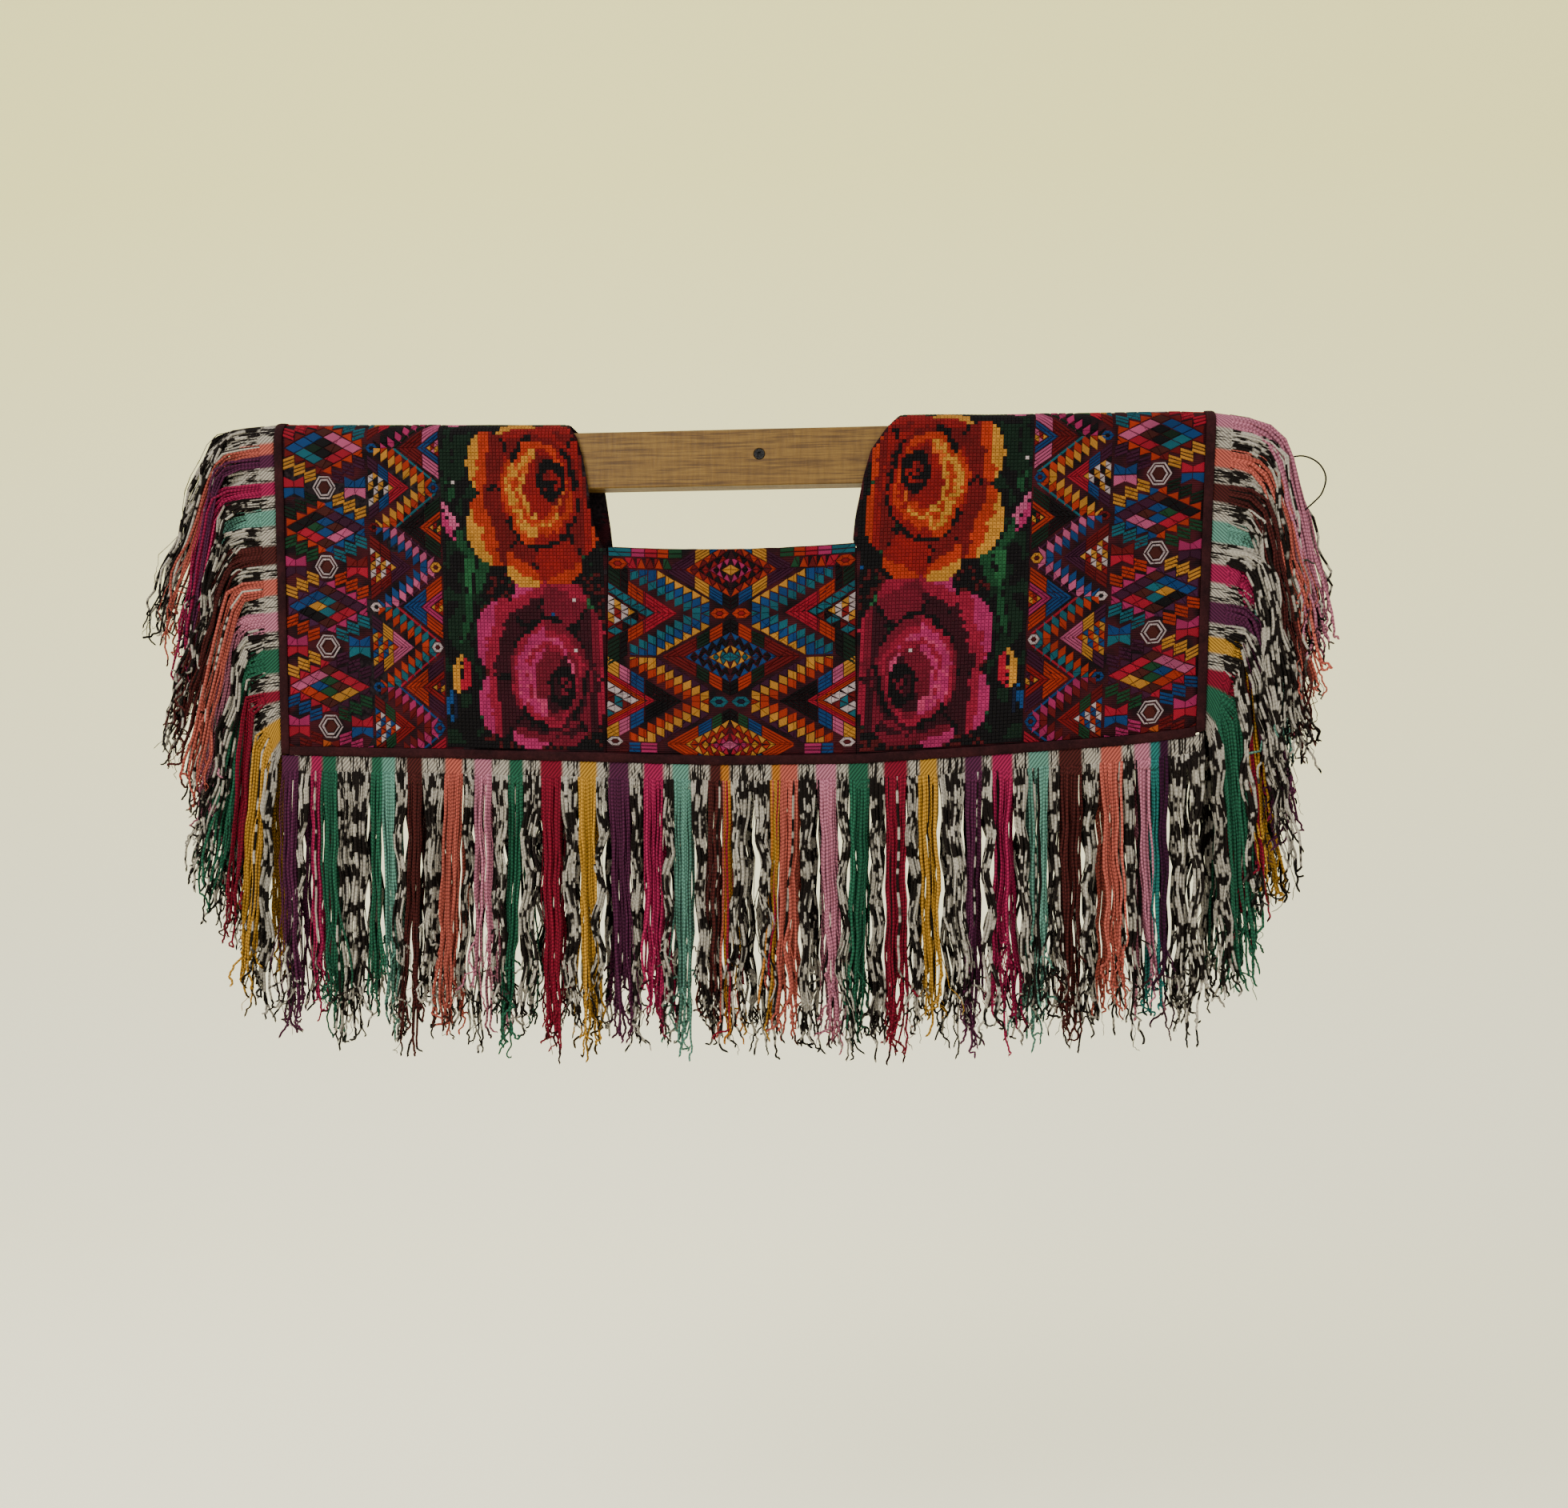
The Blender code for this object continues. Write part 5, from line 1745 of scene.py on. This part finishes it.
def make_yarn(chance, share, aside, dye, group, root, path_at, across, facing):
    """One yarn: aside is how far it starts from its group's middle, in mm."""
    stray, wisp = chance.random() < STRAYS, chance.random() < WISPS
    kept = (0.90, 1.04) if chance.random() < LONG_ONES else (0.72, 0.92)
    length = group["length"] * chance.uniform(*kept)
    curl = chance.uniform(0.7, 2.2) * (1.5 if wisp else 1)
    wave, phase = chance.uniform(8, 13), chance.uniform(0, 40)
    own_side, own_out = chance.gauss(0, 0.55), chance.gauss(0, 0.5)
    layer = chance.uniform(-2.2, 2.2)
    width = YARN_RADIUS * (WISP_WIDTH if wisp else chance.uniform(0.80, 1.12))
    loose_from = chance.uniform(0.55, 0.85)
    kinks, straight = chance.uniform(0.30, 0.80), chance.uniform(0.87, 0.95)
    heading = Vector((0, 0, -1))
    shift = group["phase"] % 5
    clump = CLUMP_WIDTH * round((aside + shift) / CLUMP_WIDTH) - shift
    points, radii, walked = [], [], 0
    for at in YARN_SHARES:
        fallen = at * length
        # At the band a yarn keeps its place, then its group draws together, opens out
        # below, and its own strands come loose.
        settled, spread = min(1, 4 * at), max(0, (at - 0.35) / 0.65) ** 1.5
        loose = max(0, (at - loose_from) / (1 - loose_from)) ** 0.8
        swing = fallen / MM / group["wave"] * math.tau + group["phase"]
        side_move = group["sway"] * at**1.6 - aside * group["pull"] * settled
        side_move += group["waviness"] * settled * math.sin(swing) + group["splay"] * spread * own_side
        side_move += 1.8 * settled * noise.noise(Vector((fallen / MM / 24, phase, group["phase"])))
        side_move += 0.7 * (clump - aside) * max(0, (at - 0.7) / 0.3)
        if stray or wisp:
            side_move += 20 * at * at * noise.noise(Vector((at * 3.4, phase, 8)))
        turn = fallen / MM / wave * math.tau + phase
        knot = noise.noise_vector(Vector((fallen / MM / 6, phase, 4)))
        side_move += curl * loose * (0.5 * math.sin(turn) + 1.5 * knot.x)
        out_move = (layer + group["forward"]) * settled + group["lean"] * at
        out_curl = 0.5 * math.cos(0.8 * turn) + 1.5 * knot.y
        out_move += 0.8 * group["splay"] * spread * own_out + curl * loose * out_curl
        # The frayed end wanders on from the point before it, the rest follows its path.
        if at > straight:
            heading += Vector([chance.gauss(0, kinks) for _ in range(3)]) + Vector((0, 0, -0.38))
            heading.normalize()
            point = points[-1] + heading * (at - walked) * length
        else:
            point = root + path_at(share, aside, fallen, group)
            point += across * side_move * MM + facing * out_move * MM
        walked = at
        point.y = max(min(point.y, -WALL_GAP), FRONT_LIMIT)
        points.append(point)
        radii.append(0.0 if at in (0, 1) else width * (1.0 - 0.28 * loose))
    shade = 1 + 0.28 * chance.uniform(-1, 1)
    tint = [c * shade for c in linear(YARNS[dye])]
    inked = chance.randint(3, 9) if group["inked"] and chance.random() < 0.8 else 0
    return points, radii, tint, float(dye == "ikat"), inked


def make_yarns(count, band_length, stripes, length_range, root_at, path_at, sideways, seed):
    """Yarns over the whole band. root_at(share) is where one leaves it, path_at(share,
    aside, fallen, group) how far it has gone from there, and sideways(share) which way is
    across its group and which way faces out."""
    chance = random.Random(seed)
    groups, yarns = {}, []
    for number in range(count):
        share = min(max((number + 0.5 + chance.uniform(-0.5, 0.5)) / count, 0.0005), 0.9995)
        start, end, dye = stripe_at(stripes, share)
        pieces = max(1, round((end - start) * band_length / MM / GROUP_WIDTH))
        piece = min(int((share - start) / (end - start) * pieces), pieces - 1)
        if (start, piece) not in groups:
            groups[start, piece] = group_habit(chance, dye == "ikat", length_range)
        middle = start + (piece + 0.5) * (end - start) / pieces
        if dye == "orange":
            dye = chance.choice(("orange", "yellow", "coral", "crimson"))
        elif dye != "ikat" and chance.random() < ODD_ONES:
            dye = chance.choice(("dark", "ikat"))
        points, radii, tint, tied, inked = make_yarn(
            chance, share, (share - middle) * band_length / MM, dye, groups[start, piece],
            root_at(share), path_at, *sideways(share),
        )
        place = share * band_length / MM + chance.uniform(-1.5, 1.5)
        yarns.append((points, radii, tint, tied, place, inked))
    return yarns


# How much more than the sewn part of the band stays woven at the hems.
HEM_WOVEN = 8 * MM
HEM_YARNS = (190 * MM, 224 * MM)


def straight_down(fallen):
    return Vector((0, 0, -fallen))


def root_from(edge):
    def root(share):
        start, outwards, up = edge(share)
        return start + outwards * (BAND - 1.0 * MM) + up * 0.9 * MM

    return root


def declare_fringe(band, yarns, node, length, area=None):
    for piece in (band, yarns):
        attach(piece, "root")
    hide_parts(node)


for leg, way, count, seed in (("front", -1, 700, 41), ("back", 1, 560, 42)):
    stripes = stripes_of(HEM_STRIPES)
    folds = FRONT_FOLDS if way < 0 else BACK_FOLDS

    def hem_edge(share, way=way, folds=folds):
        x = -HEM_REACH + share * 2 * HEM_REACH
        z = hem_height(x) - LAID_UNDER
        y = FOLD_CENTRE_Y + way * (FOLD_RADIUS + 0.5 * MM + standing_out(folds, x, z))
        return Vector((x, y, z)), Vector((0, 0, -1)), Vector((0, way, 0))

    band = add_band(
        f"{leg}_hem_band", 2 * HEM_REACH, stripes, hem_edge,
        lambda share, fallen: straight_down(fallen), lambda share: HEM_WOVEN,
    )
    yarns = add_yarns(f"{leg}_hem_yarns", make_yarns(
        count, 2 * HEM_REACH, stripes, HEM_YARNS, root_from(hem_edge),
        lambda share, aside, fallen, group: straight_down(fallen),
        lambda share, way=way: (Vector((1, 0, 0)), Vector((0, way, 0))), seed,
    ))
    declare_fringe(
        band, yarns, f"{leg}_hem_fringe", 2 * HEM_REACH,
    )


# The length over which the yarns and stripes of a side are spaced.
SIDE_LENGTH = 0.562
SIDE_COUNT = 600
SIDE_YARNS = (196 * MM, 216 * MM)
# How far along the side edge the band is sewn, as a share of the panel's length.
SEWN_SHARE = 1.02
SIDE_HANG = {
    # level run and radius of the bend at the top, lean of the fall there, droop at the seam
    -1: (20 * MM, 22 * MM, math.radians(14), math.radians(6)),
    1: (8 * MM, 33 * MM, math.radians(12), math.radians(11)),
}
STEEPEST = math.radians(66)
# How far the cloth past the band is still woven at the hems, and how much more at the fold.
WOVEN_AT_HEM = 5 * MM
WOVEN_MORE = 13 * MM
LOOPS = {
    # side: routes of loose yarns, each as (x, y, z) in mm, with their half thickness
    -1: (
        (((-406, -20, 22), (-416, -22, 16), (-426, -24, 17), (-428, -25, 26), (-421, -24, 29),
          (-416, -23, 20), (-412, -22, 8)), 0.35),
        (((-446, -24, -92), (-456, -26, -91), (-466, -27, -97), (-468, -27, -107), (-460, -27, -114),
          (-450, -26, -115)), 0.35),
    ),
    1: (
        (((428, -26, -9), (441, -28, -8), (452, -29, -14), (457, -30, -25), (454, -30, -37),
          (448, -29, -44), (439, -28, -52), (432, -28, -60), (430, -28, -69), (433, -28, -78)), 0.62),
        (((409, -27, -330), (413, -28, -344), (420, -29, -346), (425, -29, -340), (426, -29, -333)), 0.62),
    ),
}


def side_droop(side, height):
    """How steeply the cloth leaves the binding: almost level but close to the hem."""
    return SIDE_HANG[side][3] + STEEPEST * max(0, 1 - height / 0.2) ** 1.5


def side_path(side, height, fallen, extra=0.0, slant=0.0):
    """How far out and down the side's cloth or yarn has gone: nearly level, round a bend,
    then falling. height is 1 at the top of the fold and 0 at the hem, extra is a longer
    level run, and slant turns the fall a little."""
    run, bend, lean, _ = SIDE_HANG[side]
    run = run * height + extra
    droop = side_droop(side, height)
    radius = 4 * MM + (bend - 4 * MM) * height
    final = math.pi / 2 - lean * math.sqrt(max(height, 0)) + slant
    angle = droop + min(max((fallen - run) / radius, 0), final - droop)
    out = min(fallen, run) * math.cos(droop) + radius * (math.sin(angle) - math.sin(droop))
    down = min(fallen, run) * math.sin(droop) + radius * (math.cos(droop) - math.cos(angle))
    past = max(fallen - run - radius * (final - droop), 0)
    return out + past * math.cos(final), down + past * math.sin(final)


def route_through(points, steps=5):
    """A smooth route through listed points in mm, in metres."""
    known = np.array(points, dtype=float) * MM
    ends = np.vstack([2 * known[0] - known[1], known, 2 * known[-1] - known[-2]])
    route = []
    for a, b, c, d in zip(ends, ends[1:], ends[2:], ends[3:]):
        for t in np.arange(steps) / steps:
            route.append(Vector(0.5 * (
                2 * b + (c - a) * t + (2 * a - 5 * b + 4 * c - d) * t**2 + (3 * b - a - 3 * c + d) * t**3
            )))
    return route + [Vector(known[-1])]


for side, side_name, text, seed in ((-1, "left", LEFT_STRIPES, 43), (1, "right", RIGHT_STRIPES, 44)):
    stripes = there_and_back(text)

    def side_edge(share, side=side):
        run = (share * 2 - 1) * HALF_LENGTH * SEWN_SHARE
        low = hang(side * outer_edge(run), run, 0.5 * MM)
        up = hang(side * outer_edge(run), run, 1.5 * MM) - low
        droop = side_droop(side, 1 - abs(share * 2 - 1))
        outwards = Vector((side * math.cos(droop), 0, -math.sin(droop)))
        return low + Vector((side * LAID_UNDER, 0, 0)), outwards, up.normalized()

    def side_cloth(share, fallen, side=side):
        out, down = side_path(side, 1 - abs(share * 2 - 1), fallen)
        return Vector((side * out, 0, -down))

    def side_way(share, aside, fallen, group, side=side):
        """Yarns nearer the fold go round the outside of the bend."""
        height = 1 - abs(share * 2 - 1)
        upper = aside if share < 0.5 else -aside
        extra = max(0.85 * upper + 0.35 * GROUP_WIDTH, 0) * MM * group["reach"]
        out, down = side_path(side, height * group["reach"], fallen, extra, group["slant"])
        return Vector((side * out, 0, -down))

    def side_turned(share, side=side):
        across = side if share < 0.5 else -side
        return Vector((across, 0, 0)), Vector((0, -1.4 if share < 0.5 else 1.2, 0))

    band = add_band(
        f"{side_name}_side_band", SIDE_LENGTH, stripes, side_edge, side_cloth,
        lambda share: WOVEN_AT_HEM + WOVEN_MORE * (1 - abs(share * 2 - 1)),
    )
    yarns = make_yarns(
        SIDE_COUNT, SIDE_LENGTH, stripes, SIDE_YARNS, root_from(side_edge), side_way, side_turned, seed,
    )
    for points, thick in LOOPS[side]:
        route = route_through(points)
        radii = [0.0] + [thick * MM] * (len(route) - 2) + [0.0]
        yarns.append((route, radii, linear(YARNS["dark"]), 0.0, 0.0, 0))
    yarns = add_yarns(f"{side_name}_yarns", yarns)
    declare_fringe(
        band, yarns, f"{side_name}_fringe", edge_length(side),
        area=edge_length(side) * (BAND + WOVEN_AT_HEM + WOVEN_MORE / 2),
    )
